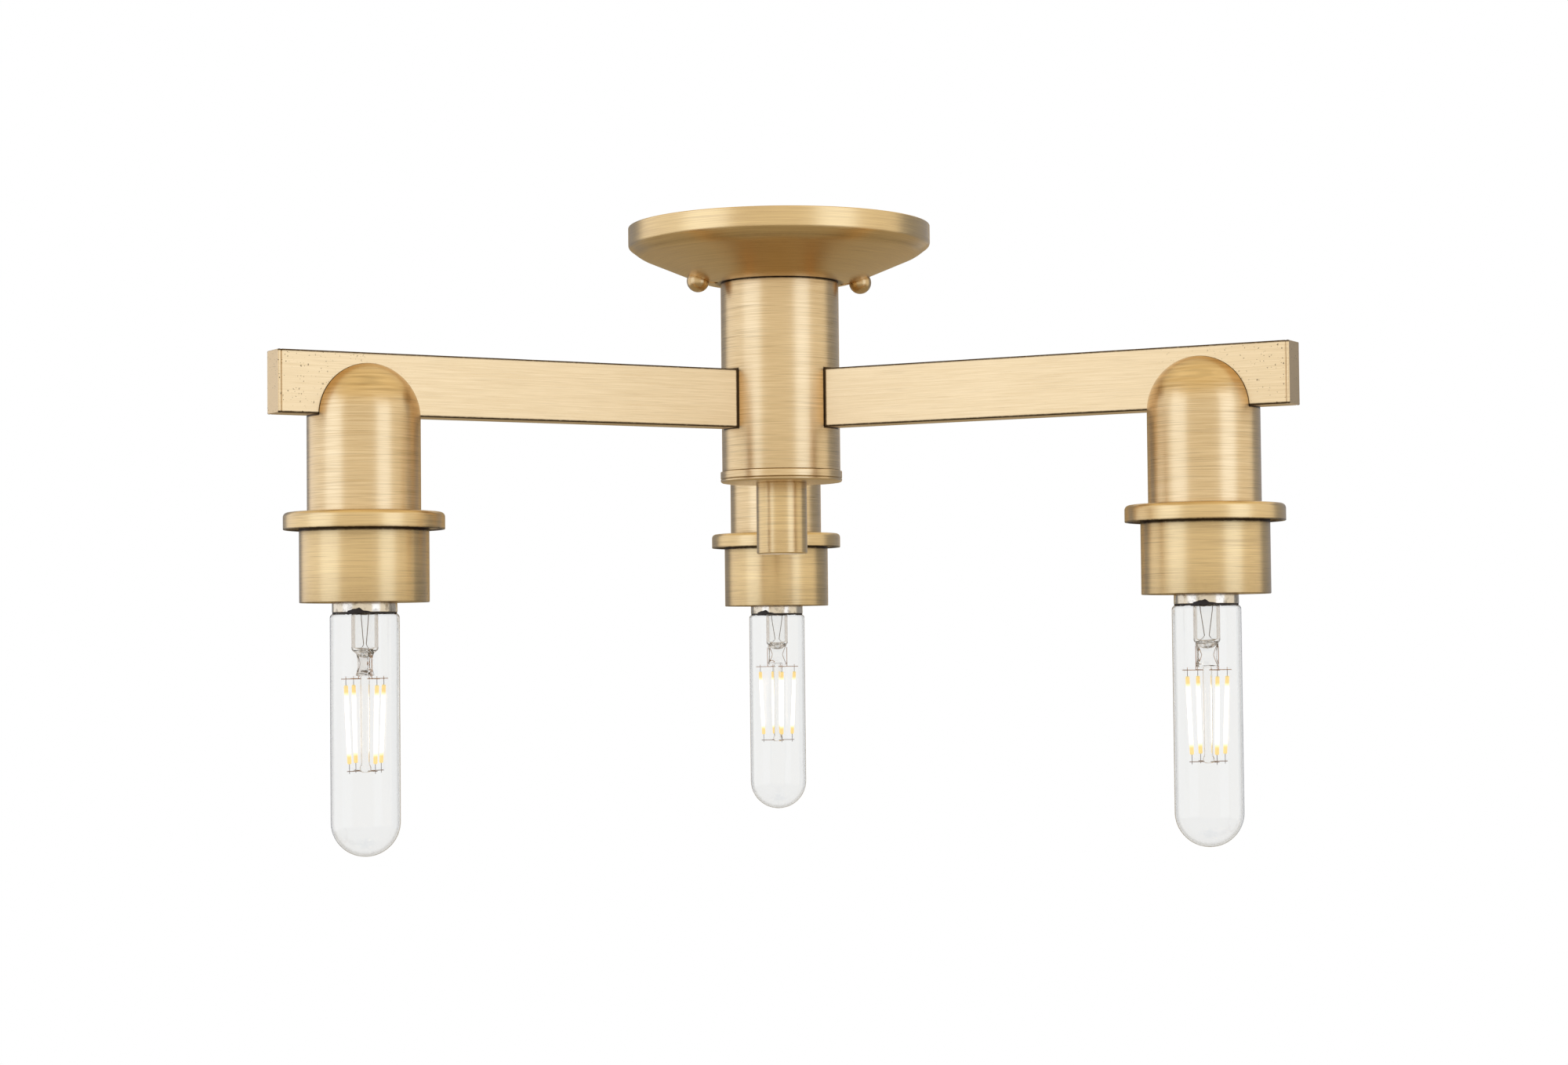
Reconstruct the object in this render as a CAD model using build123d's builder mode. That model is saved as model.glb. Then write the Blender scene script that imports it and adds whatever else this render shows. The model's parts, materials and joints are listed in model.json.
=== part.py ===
from build123d import *

import math
import os

# A three-arm semi-flush ceiling light. Sizes are in millimetres.
# The ceiling is the plane z = 0, and the light hangs below it on the Z axis.
# Drops are measured down from the ceiling, reaches are measured out from the Z axis.

os.makedirs("parts", exist_ok=True)

# Layout
arm_angles = (210, 330, 90)
stud_line_angle = 9
stud_angles = {"left": stud_line_angle + 180, "right": stud_line_angle}

# Clearances
thread_clearance = 0.05
seat_clearance = 0.3
slide_clearance = 0.1
touch_gap = 0.1

# Canopy
canopy_radius = 76
canopy_depth = 28.3
canopy_wall = 1.2
canopy_rim_height = 10
canopy_rim_rounding = 2.5
canopy_shoulder_radius = 70
canopy_shoulder_height = 14.5
canopy_shoulder_rounding = 20
canopy_floor_radius = 37
canopy_floor_rounding = 30
canopy_slot_width = 5.5
canopy_slot_inner_reach = 34

# Mounting plate, studs and their nuts
plate_radius = 52
plate_thickness = 2
plate_center_radius = 14
box_slot_spacing = 79.4
box_slot_length = 16
box_slot_width = 4.8
stud_radius = 2.08
stud_reach = 41.5
stud_nut_width = 8.7
stud_nut_height = 3.2
ground_screw_reach = 32
ground_screw_angle = 225
ground_screw_radius = 2.4
ground_screw_length = 7
ground_head_radius = 4.6
ground_head_height = 2.4
ground_head_slot = 0.8

# Ball nuts
ball_radius = 5.65
ball_sink = 4.7
ball_top_flat = 4.3
ball_bore_depth = 7.5
ball_bore_spare = 0.8

# Hollow threaded tubes and their nuts
nipple_radius = 5
nipple_bore_radius = 3.5
nipple_nut_width = 14.3
canopy_nut_height = 4
canopy_nipple_stand = 3
canopy_nipple_reach = 10
lock_washer_radius = 8
lock_washer_height = 1
lock_washer_gap = 1.2
holder_nut_height = 3

# Column
column_radius = 29.7
column_length = 95
column_wall = 1.5
column_disc_thickness = 4
bridge_drop = 108
bridge_thickness = 3

# Base cap and finial stub
base_cap_radius = 30.55
base_cap_height = 5.6
base_cap_wall = 1.5
base_cap_groove_drop = 3.4
base_cap_groove_width = 0.7
base_cap_groove_depth = 0.35
base_cap_rounding = 1.2
base_cap_lip_height = 4
base_cap_lip_wall = 1.2
finial_radius = 12.7
finial_length = 35.8
finial_edge = 0.5
finial_rod_radius = 3.175
finial_rod_grip = 12.7
finial_bore_spare = 1.5
finial_rod_stand = 3

# Arms
arm_drop = 73.1
arm_height = 29.1
arm_thickness = 14.25
arm_wall = 1.5
arm_reach = 269.6
arm_root_reach = 21
arm_edge = 0.35
end_cap_thickness = 1.5

# Lamp holders
lamp_reach = 225.2
holder_radius = 26.2
holder_length = 44.6
dome_center_drop = 1
holder_wall = 1.2
ring_radius = 37.2
ring_height = 8
ring_wall = 1.2
ring_rounding = 2.2
cup_radius = 29.9
cup_length = 41.7
cup_wall = 1.2
cup_rounding = 2
anchor_length = 18
anchor_height = 5
lampholder_radius = 19.5
lampholder_mouth_inset = 4
lampholder_hub_radius = 11
lampholder_hub_height = 5
lampholder_chamber_radius = 8
lampholder_chamber_height = 3
lampholder_web = 2.5
lampholder_rounding = 1.5

# Screw shell and centre contact
shell_radius = 14.05
shell_wall = 0.4
shell_rib_depth = 0.35
shell_top_thickness = 0.5
shell_mouth_inset = 2
shell_center_radius = 8
contact_radius = 4
contact_height = 0.9

# Bulb
thread_pitch = 3.629
thread_turns = 4
cap_thread_radius = 12.95
cap_thread_depth = 0.55
cap_sheet = 0.45
cap_shoulder_height = 1.6
cap_flare_height = 3.4
collar_radius = 15
collar_height = 5
collar_show = 4.4
insulator_radius = 9.2
insulator_height = 2.2
tip_radius = 4.6
tip_height = 1
glass_radius = 16
glass_wall = 0.8
glass_length = 112.6
glass_neck_radius = 14.2
glass_neck_length = 4.4
glass_shoulder_height = 1.8

# Inside the bulb, measured down from the collar's lower edge
stem_tube_radius = 6.2
stem_tube_wall = 0.9
stem_tube_length = 18
stem_flange_height = 1.2
press_length = 11.4
press_width = 11
press_thickness = 4.5
rod_radius = 2.2
rod_spare = 0.8
upper_wire_drop = 30.7
lower_wire_drop = 73.1
upper_wire_reach = 12.6
lower_wire_reach = 9.8
wire_radius = 0.25
hook_radius = 0.2
filament_length = 36.2
filament_radius = 0.85
filament_upper_reach = 10.2
filament_lower_reach = 8.5
filament_gap = 2.9
filament_count = 4
filament_turns = (34, 25, 30)
lead_in_spread = 4.2
lead_in_foot = 1.4

# Wiring
lead_radius = 1
lead_offset = 1.6
black_lead_drop = 79
white_lead_drop = 82
lead_corner_radius = 8
lead_bend_radius = 6
lead_turn_reach = 25
bundle_offset = 1.2
connector_reach = 9
connector_radius = 6
connector_bore = 3
connector_taper = 5
connector_top_drop = 89
connector_length = 17
connector_bore_depth = 11
supply_offset = 1.75
supply_drop = 12
supply_reach = 30
supply_bend_drop = 46
supply_turn_drop = 68
ground_lead_shift = 3
bare_length = 8
bare_radius = 0.5

# Levels worked out from the drops
column_top = -canopy_depth
column_end = column_top - column_length
base_cap_end = column_end - base_cap_height
finial_end = base_cap_end - finial_length
arm_top = -arm_drop
arm_bottom = arm_top - arm_height
holder_end = arm_bottom - holder_length
cup_top = holder_end - ring_wall
cup_end = holder_end - cup_length
holder_nut_top = cup_top - cup_wall
lampholder_top = holder_nut_top - holder_nut_height
lampholder_end = cup_end + lampholder_mouth_inset
glass_top = cup_end - collar_show
collar_top = glass_top + collar_height
thread_end = collar_top + cap_flare_height
thread_top = thread_end + thread_turns * thread_pitch
cap_top = thread_top + cap_shoulder_height
insulator_top = cap_top + insulator_height
tip_top = insulator_top + tip_height
contact_end = tip_top + seat_clearance
web_end = contact_end + contact_height
web_top = web_end + lampholder_web
chamber_top = web_top + lampholder_chamber_height
bulb_end = glass_top - glass_length

# Widths worked out from the walls
canopy_slope = (canopy_depth - canopy_shoulder_height) / (canopy_shoulder_radius - canopy_floor_radius)
canopy_slope_cosine = math.cos(math.atan(canopy_slope))
canopy_floor_inside = column_top + canopy_wall
column_inside = column_radius - column_wall
shell_bore = shell_radius + 2 * slide_clearance


def outward(angle, reach, height=0.0):
    """Point at that reach and height on the upright plane that stands at the angle."""
    turn = math.radians(angle)
    return Vector(reach * math.cos(turn), reach * math.sin(turn), height)


def level_plane(angle, reach=0.0, height=0.0):
    """Level plane whose X runs outward along an arm."""
    return Plane(origin=outward(angle, reach, height), x_dir=outward(angle, 1), z_dir=(0, 0, 1))


def section_plane(angle, reach=0.0):
    """Upright plane through a vertical axis: X runs outward and Y runs up."""
    across = outward(angle, 1).cross(Vector(0, 0, 1))
    return Plane(origin=outward(angle, reach), x_dir=outward(angle, 1), z_dir=across)


def arm_face_plane(angle, reach):
    """Upright plane square to an arm: X runs across the arm and Y runs up."""
    across = Vector(0, 0, 1).cross(outward(angle, 1))
    return Plane(origin=outward(angle, reach), x_dir=across, z_dir=outward(angle, 1))


def bulb_plane(angle, turn, height=0.0):
    """Level plane on a lamp's axis whose X is turned with the bulb."""
    return Plane(origin=outward(angle, lamp_reach, height), x_dir=outward(turn, 1), z_dir=(0, 0, 1))


def strut_plane(start, end):
    """Plane at the start of a straight strut, facing its end."""
    return Plane(origin=start, z_dir=end - start)


def upright_axis(angle=0.0, reach=0.0):
    """Vertical axis at that angle and reach."""
    return Axis(outward(angle, reach), (0, 0, 1))


def canopy_underside(reach):
    """Height of the canopy's sloping underside at that reach."""
    return -canopy_shoulder_height - canopy_slope * (canopy_shoulder_radius - reach)


ball_center = canopy_underside(stud_reach) - (ball_radius - ball_sink) / canopy_slope_cosine
stud_end = ball_center + ball_top_flat - ball_bore_depth + ball_bore_spare

# Canopy: a spun pan with an upright rim, two stud slots and a middle hole
with BuildPart() as canopy:
    with BuildSketch(Plane.XZ):
        with BuildLine():
            Polyline(
                (0, 0),
                (canopy_radius, 0),
                (canopy_radius, -canopy_rim_height),
                (canopy_shoulder_radius, -canopy_shoulder_height),
                (canopy_floor_radius, -canopy_depth),
                (0, -canopy_depth),
                close=True,
            )
        make_face()
        shoulder_corner = vertices().sort_by(Axis.X)[-3]
        fillet(shoulder_corner, radius=canopy_shoulder_rounding)
        rim_corner = vertices().sort_by(Axis.X)[-2:].sort_by(Axis.Y)[0]
        fillet(rim_corner, radius=canopy_rim_rounding)
        floor_corner = vertices().sort_by(Axis.Y)[:2].sort_by(Axis.X)[-1]
        fillet(floor_corner, radius=canopy_floor_rounding)
    revolve(axis=Axis.Z)
    offset(amount=-canopy_wall, openings=canopy.faces().sort_by(Axis.Z)[-1])
    with BuildSketch(Plane.XY.offset(column_top)):
        Circle(nipple_radius + thread_clearance)
    extrude(amount=canopy_wall, both=True, mode=Mode.SUBTRACT)
    with BuildSketch(level_plane(stud_line_angle, height=-canopy_depth)):
        with PolarLocations(0, 2):
            with Locations(((stud_reach + canopy_slot_inner_reach) / 2, 0)):
                SlotCenterToCenter(stud_reach - canopy_slot_inner_reach, canopy_slot_width)
    extrude(amount=canopy_depth - plate_thickness, mode=Mode.SUBTRACT)
    with Locations(*[outward(angle, stud_reach, ball_center) for angle in stud_angles.values()]):
        Sphere(ball_radius + seat_clearance, mode=Mode.SUBTRACT)
canopy.part.label = "canopy"
export_step(canopy.part, "parts/canopy.step")

# Mounting plate: a round crossbar screwed to the outlet box, with two tapped stud holes
with BuildPart() as mounting_plate:
    with BuildSketch():
        Circle(plate_radius)
        Circle(plate_center_radius, mode=Mode.SUBTRACT)
        with GridLocations(0, box_slot_spacing, 1, 2):
            SlotOverall(box_slot_length, box_slot_width, rotation=90, mode=Mode.SUBTRACT)
    extrude(amount=-plate_thickness)
    with BuildSketch(level_plane(stud_line_angle)):
        with PolarLocations(stud_reach, 2):
            Circle(stud_radius + thread_clearance)
    extrude(amount=-plate_thickness, mode=Mode.SUBTRACT)
    with BuildSketch(level_plane(ground_screw_angle, ground_screw_reach)):
        Circle(ground_screw_radius + thread_clearance)
    extrude(amount=-plate_thickness, mode=Mode.SUBTRACT)
mounting_plate.part.label = "mounting_plate"
export_step(mounting_plate.part, "parts/mounting_plate.step")

with BuildPart() as canopy_studs:
    with BuildSketch(level_plane(stud_line_angle, height=stud_end)):
        with PolarLocations(stud_reach, 2):
            Circle(stud_radius)
    extrude(amount=-stud_end)
canopy_studs.part.label = "canopy_studs"
export_step(canopy_studs.part, "parts/canopy_studs.step")

with BuildPart() as stud_lock_nuts:
    with BuildSketch(level_plane(stud_line_angle, height=-plate_thickness)):
        with PolarLocations(stud_reach, 2):
            RegularPolygon(stud_nut_width / 2, 6, major_radius=False)
            Circle(stud_radius + thread_clearance, mode=Mode.SUBTRACT)
    extrude(amount=-stud_nut_height)
stud_lock_nuts.part.label = "stud_lock_nuts"
export_step(stud_lock_nuts.part, "parts/stud_lock_nuts.step")

with BuildPart() as ground_screw:
    with BuildSketch(level_plane(ground_screw_angle, ground_screw_reach, -plate_thickness)):
        Circle(ground_head_radius)
    extrude(amount=-ground_head_height)
    fillet(ground_screw.edges().group_by(Axis.Z)[0], radius=ground_head_height / 3)
    with BuildSketch(level_plane(ground_screw_angle, ground_screw_reach, -plate_thickness)):
        Circle(ground_screw_radius)
    extrude(amount=ground_screw_length)
    with BuildSketch(level_plane(ground_screw_angle, ground_screw_reach, -plate_thickness - ground_head_height)):
        Rectangle(2 * ground_head_radius, ground_head_slot)
    extrude(amount=ground_head_height / 2, mode=Mode.SUBTRACT)
ground_screw.part.label = "ground_screw"
export_step(ground_screw.part, "parts/ground_screw.step")

# Ball nuts: round cap nuts that sit in the canopy's stud slots
for side, angle in stud_angles.items():
    with BuildPart() as ball_nut:
        with Locations(outward(angle, stud_reach, ball_center)):
            Sphere(ball_radius)
        with BuildSketch(level_plane(angle, stud_reach, ball_center + ball_top_flat)):
            Circle(ball_radius)
        extrude(amount=ball_radius, mode=Mode.SUBTRACT)
        with BuildSketch(level_plane(angle, stud_reach, ball_center + ball_top_flat)):
            Circle(stud_radius + thread_clearance)
        extrude(amount=-ball_bore_depth, mode=Mode.SUBTRACT)
    ball_nut.part.label = f"ball_nut_{side}"
    export_step(ball_nut.part, f"parts/ball_nut_{side}.step")

# Canopy nipple with its washer and nut, which clamp the canopy to the column
canopy_nut_top = canopy_floor_inside + lock_washer_height + canopy_nut_height
nipple_top = canopy_nut_top + canopy_nipple_stand

with BuildPart() as canopy_nipple:
    with BuildSketch(Plane.XY.offset(column_top - canopy_nipple_reach)):
        Circle(nipple_radius)
        Circle(nipple_bore_radius, mode=Mode.SUBTRACT)
    extrude(amount=nipple_top - column_top + canopy_nipple_reach)
canopy_nipple.part.label = "canopy_nipple"
export_step(canopy_nipple.part, "parts/canopy_nipple.step")

with BuildPart() as canopy_lock_washer:
    with BuildSketch(Plane.XY.offset(canopy_floor_inside)):
        Circle(lock_washer_radius)
        Circle(nipple_radius + slide_clearance, mode=Mode.SUBTRACT)
        with Locations((lock_washer_radius, 0)):
            Rectangle(2 * (lock_washer_radius - nipple_radius), lock_washer_gap, mode=Mode.SUBTRACT)
    extrude(amount=lock_washer_height)
canopy_lock_washer.part.label = "canopy_lock_washer"
export_step(canopy_lock_washer.part, "parts/canopy_lock_washer.step")

with BuildPart() as canopy_nut:
    with BuildSketch(Plane.XY.offset(canopy_floor_inside + lock_washer_height)):
        RegularPolygon(nipple_nut_width / 2, 6, major_radius=False)
        Circle(nipple_radius + thread_clearance, mode=Mode.SUBTRACT)
    extrude(amount=canopy_nut_height)
canopy_nut.part.label = "canopy_nut"
export_step(canopy_nut.part, "parts/canopy_nut.step")

# Column: a tube with a disc in its top, a bridge lower down and a window for each arm
with BuildPart() as column_tube:
    with BuildSketch(Plane.XY.offset(column_end)):
        Circle(column_radius)
        Circle(column_inside, mode=Mode.SUBTRACT)
    extrude(amount=column_length)
    for angle in arm_angles:
        with BuildSketch(arm_face_plane(angle, arm_root_reach)):
            with Locations((0, arm_top - arm_height / 2)):
                Rectangle(arm_thickness, arm_height)
        extrude(amount=column_radius, mode=Mode.SUBTRACT)
column_tube.part.label = "column_tube"
export_step(column_tube.part, "parts/column_tube.step")

with BuildPart() as column_top_disc:
    with BuildSketch(Plane.XY.offset(column_top)):
        Circle(column_inside - thread_clearance)
        Circle(nipple_radius + thread_clearance, mode=Mode.SUBTRACT)
    extrude(amount=-column_disc_thickness)
column_top_disc.part.label = "column_top_disc"
export_step(column_top_disc.part, "parts/column_top_disc.step")

with BuildPart() as column_bridge:
    with BuildSketch(Plane.XY.offset(-bridge_drop)):
        Circle(column_inside - thread_clearance)
        Circle(finial_rod_radius + thread_clearance, mode=Mode.SUBTRACT)
    extrude(amount=-bridge_thickness)
column_bridge.part.label = "column_bridge"
export_step(column_bridge.part, "parts/column_bridge.step")

# Finial: a rod from the bridge carries the base cap and the stub screwed under it
rod_end = base_cap_end - finial_rod_grip
with BuildPart() as finial_rod:
    with BuildSketch(Plane.XY.offset(rod_end)):
        Circle(finial_rod_radius)
    extrude(amount=-bridge_drop + finial_rod_stand - rod_end)
finial_rod.part.label = "finial_rod"
export_step(finial_rod.part, "parts/finial_rod.step")

groove_top = column_end - base_cap_groove_drop
groove_end = groove_top - base_cap_groove_width
base_cap_floor = base_cap_end + base_cap_wall
lip_radius = column_inside - seat_clearance
with BuildPart() as column_base_cap:
    with BuildSketch(Plane.XZ):
        with BuildLine():
            Polyline(
                (finial_rod_radius + seat_clearance, base_cap_end),
                (base_cap_radius, base_cap_end),
                (base_cap_radius, groove_end),
                (base_cap_radius - base_cap_groove_depth, (groove_end + groove_top) / 2),
                (base_cap_radius, groove_top),
                (base_cap_radius, column_end),
                (lip_radius, column_end),
                (lip_radius, column_end + base_cap_lip_height),
                (lip_radius - base_cap_lip_wall, column_end + base_cap_lip_height),
                (lip_radius - base_cap_lip_wall, base_cap_floor),
                (finial_rod_radius + seat_clearance, base_cap_floor),
                close=True,
            )
        make_face()
        lower_corner = vertices().sort_by(Axis.Y)[:2].sort_by(Axis.X)[-1]
        fillet(lower_corner, radius=base_cap_rounding)
    revolve(axis=Axis.Z)
column_base_cap.part.label = "column_base_cap"
export_step(column_base_cap.part, "parts/column_base_cap.step")

with BuildPart() as finial_stub:
    with BuildSketch(Plane.XY.offset(finial_end)):
        Circle(finial_radius)
    extrude(amount=finial_length)
    chamfer(finial_stub.edges().group_by(Axis.Z)[0], length=finial_edge)
    with BuildSketch(Plane.XY.offset(base_cap_end)):
        Circle(finial_rod_radius + thread_clearance)
    extrude(amount=-finial_rod_grip - finial_bore_spare, mode=Mode.SUBTRACT)
finial_stub.part.label = "finial_stub"
export_step(finial_stub.part, "parts/finial_stub.step")

# Arms: rectangular tubes from inside the column, each with a hole for its lamp's nipple
arm_tube_end = arm_reach - end_cap_thickness
for number, angle in enumerate(arm_angles, start=1):
    with BuildPart() as arm:
        with BuildSketch(arm_face_plane(angle, arm_root_reach)):
            with Locations((0, arm_top - arm_height / 2)):
                RectangleRounded(arm_thickness, arm_height, arm_edge)
                Rectangle(arm_thickness - 2 * arm_wall, arm_height - 2 * arm_wall, mode=Mode.SUBTRACT)
        extrude(amount=arm_tube_end - arm_root_reach)
        with BuildSketch(level_plane(angle, lamp_reach, arm_bottom)):
            Circle(nipple_radius + slide_clearance)
        extrude(amount=arm_wall, mode=Mode.SUBTRACT)
    arm.part.label = f"arm_{number}"
    export_step(arm.part, f"parts/arm_{number}.step")

with BuildPart() as arm_end_caps:
    for angle in arm_angles:
        with BuildSketch(arm_face_plane(angle, arm_tube_end)):
            with Locations((0, arm_top - arm_height / 2)):
                RectangleRounded(arm_thickness, arm_height, arm_edge)
        extrude(amount=end_cap_thickness)
arm_end_caps.part.label = "arm_end_caps"
export_step(arm_end_caps.part, "parts/arm_end_caps.step")

# Lamp holders: domed tube over the arm, ring, cup and the threaded tube that clamps them
dome_center = arm_bottom - dome_center_drop
for number, angle in enumerate(arm_angles, start=1):
    with BuildPart() as holder_tube:
        with BuildSketch(section_plane(angle, lamp_reach)):
            with BuildLine():
                Line((holder_radius - holder_wall, holder_end), (holder_radius, holder_end))
                Line((holder_radius, holder_end), (holder_radius, dome_center))
                CenterArc((0, dome_center), holder_radius, 0, 90)
                Line((0, dome_center + holder_radius), (0, dome_center + holder_radius - holder_wall))
                CenterArc((0, dome_center), holder_radius - holder_wall, 0, 90)
                Line((holder_radius - holder_wall, dome_center), (holder_radius - holder_wall, holder_end))
            make_face()
        revolve(axis=upright_axis(angle, lamp_reach))
        with BuildSketch(arm_face_plane(angle, lamp_reach - holder_radius)):
            with Locations((0, arm_top - arm_height / 2)):
                Rectangle(arm_thickness + 2 * slide_clearance, arm_height)
        extrude(amount=2 * holder_radius, mode=Mode.SUBTRACT)
    holder_tube.part.label = f"holder_tube_{number}"
    export_step(holder_tube.part, f"parts/holder_tube_{number}.step")

    with BuildPart() as holder_ring:
        with BuildSketch(section_plane(angle, lamp_reach)):
            with BuildLine():
                Polyline(
                    (nipple_radius + slide_clearance, holder_end),
                    (ring_radius, holder_end),
                    (ring_radius, holder_end - ring_height),
                    (ring_radius - ring_wall, holder_end - ring_height),
                    (ring_radius - ring_wall, holder_end - ring_wall),
                    (nipple_radius + slide_clearance, holder_end - ring_wall),
                    close=True,
                )
            make_face()
            outer_corner = vertices().sort_by(Axis.Y)[-2:].sort_by(Axis.X)[-1]
            fillet(outer_corner, radius=ring_rounding)
            inner_corner = vertices().sort_by_distance((ring_radius - ring_wall, holder_end - ring_wall))[0]
            fillet(inner_corner, radius=ring_rounding - ring_wall)
        revolve(axis=upright_axis(angle, lamp_reach))
    holder_ring.part.label = f"holder_ring_{number}"
    export_step(holder_ring.part, f"parts/holder_ring_{number}.step")

    with BuildPart() as socket_cup:
        with BuildSketch(section_plane(angle, lamp_reach)):
            with BuildLine():
                Polyline(
                    (nipple_radius + slide_clearance, cup_top),
                    (cup_radius, cup_top),
                    (cup_radius, cup_end),
                    (cup_radius - cup_wall, cup_end),
                    (cup_radius - cup_wall, cup_top - cup_wall),
                    (nipple_radius + slide_clearance, cup_top - cup_wall),
                    close=True,
                )
            make_face()
            outer_corner = vertices().sort_by(Axis.Y)[-2:].sort_by(Axis.X)[-1]
            fillet(outer_corner, radius=cup_rounding)
            inner_corner = vertices().sort_by_distance((cup_radius - cup_wall, cup_top - cup_wall))[0]
            fillet(inner_corner, radius=cup_rounding - cup_wall)
        revolve(axis=upright_axis(angle, lamp_reach))
    socket_cup.part.label = f"socket_cup_{number}"
    export_step(socket_cup.part, f"parts/socket_cup_{number}.step")

    with BuildPart() as lampholder:
        with BuildSketch(section_plane(angle, lamp_reach)):
            with BuildLine():
                Polyline(
                    (nipple_radius + thread_clearance, lampholder_top),
                    (lampholder_hub_radius, lampholder_top),
                    (lampholder_hub_radius, lampholder_top - lampholder_hub_height),
                    (lampholder_radius, lampholder_top - lampholder_hub_height),
                    (lampholder_radius, lampholder_end),
                    (shell_bore, lampholder_end),
                    (shell_bore, web_end),
                    (0, web_end),
                    (0, web_top),
                    (lampholder_chamber_radius, web_top),
                    (lampholder_chamber_radius, chamber_top),
                    (nipple_radius + thread_clearance, chamber_top),
                    close=True,
                )
            make_face()
            shoulder = vertices().sort_by_distance((lampholder_radius, lampholder_top - lampholder_hub_height))[0]
            fillet(shoulder, radius=lampholder_rounding)
        revolve(axis=upright_axis(angle, lamp_reach))
    lampholder.part.label = f"lampholder_{number}"
    export_step(lampholder.part, f"parts/lampholder_{number}.step")

# Threaded tubes that hang each lamp holder from its arm, with their weld blocks and nuts
anchor_end = arm_bottom + arm_wall
anchor_width = arm_thickness - 2 * arm_wall
with BuildPart() as holder_nipples:
    for angle in arm_angles:
        with BuildSketch(level_plane(angle, lamp_reach, chamber_top)):
            Circle(nipple_radius)
            Circle(nipple_bore_radius, mode=Mode.SUBTRACT)
        extrude(amount=anchor_end + anchor_height - chamber_top)
holder_nipples.part.label = "holder_nipples"
export_step(holder_nipples.part, "parts/holder_nipples.step")

with BuildPart() as holder_anchors:
    for angle in arm_angles:
        with BuildSketch(level_plane(angle, lamp_reach, anchor_end)):
            Rectangle(anchor_length, anchor_width)
            Circle(nipple_radius + thread_clearance, mode=Mode.SUBTRACT)
        extrude(amount=anchor_height)
holder_anchors.part.label = "holder_anchors"
export_step(holder_anchors.part, "parts/holder_anchors.step")

with BuildPart() as holder_nuts:
    for angle in arm_angles:
        with BuildSketch(level_plane(angle, lamp_reach, holder_nut_top)):
            RegularPolygon(nipple_nut_width / 2, 6, major_radius=False)
            Circle(nipple_radius + thread_clearance, mode=Mode.SUBTRACT)
        extrude(amount=-holder_nut_height)
holder_nuts.part.label = "holder_nuts"
export_step(holder_nuts.part, "parts/holder_nuts.step")

# Screw shells: thin ribbed brass linings of the lampholders, closed by a washer at the top
shell_top = web_end
shell_end = lampholder_end + shell_mouth_inset
rib_count = int((shell_top - shell_top_thickness - shell_end) / thread_pitch)
with BuildPart() as screw_shells:
    for angle in arm_angles:
        with BuildSketch(section_plane(angle, lamp_reach)):
            with BuildLine():
                outer_points = [(shell_radius, shell_end)]
                inner_points = [(shell_radius - shell_wall, shell_end)]
                for rib in range(rib_count):
                    middle = shell_end + rib * thread_pitch + thread_pitch / 2
                    for rise in (-thread_pitch / 4, thread_pitch / 4):
                        outer_points.append((shell_radius - shell_rib_depth * (rise < 0), middle + rise))
                        inner_points.append((shell_radius - shell_wall - shell_rib_depth * (rise < 0), middle + rise))
                Polyline(
                    *outer_points,
                    (shell_radius, shell_top),
                    (shell_center_radius, shell_top),
                    (shell_center_radius, shell_top - shell_top_thickness),
                    (shell_radius - shell_wall, shell_top - shell_top_thickness),
                    *reversed(inner_points),
                    close=True,
                )
            make_face()
        revolve(axis=upright_axis(angle, lamp_reach))
screw_shells.part.label = "screw_shells"
export_step(screw_shells.part, "parts/screw_shells.step")

with BuildPart() as center_contacts:
    for angle in arm_angles:
        with BuildSketch(level_plane(angle, lamp_reach, web_end)):
            Circle(contact_radius)
        extrude(amount=-contact_height)
center_contacts.part.label = "center_contacts"
export_step(center_contacts.part, "parts/center_contacts.step")

# Bulbs: screw cap, contact tip, glass, stem, filaments and support wires
thread_root = cap_thread_radius - cap_thread_depth
neck_top = glass_top + glass_neck_length
glass_tip = bulb_end + glass_radius
shoulder_end = glass_top - glass_shoulder_height
press_top = glass_top - stem_tube_length
press_end = press_top - press_length
upper_wire_height = glass_top - upper_wire_drop
lower_wire_height = glass_top - lower_wire_drop
filament_top = upper_wire_height - filament_gap
filament_end = filament_top - filament_length
lead_out_reach = press_width / 2 + touch_gap + hook_radius
lead_out_top = press_top - stem_tube_radius / 4

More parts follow.
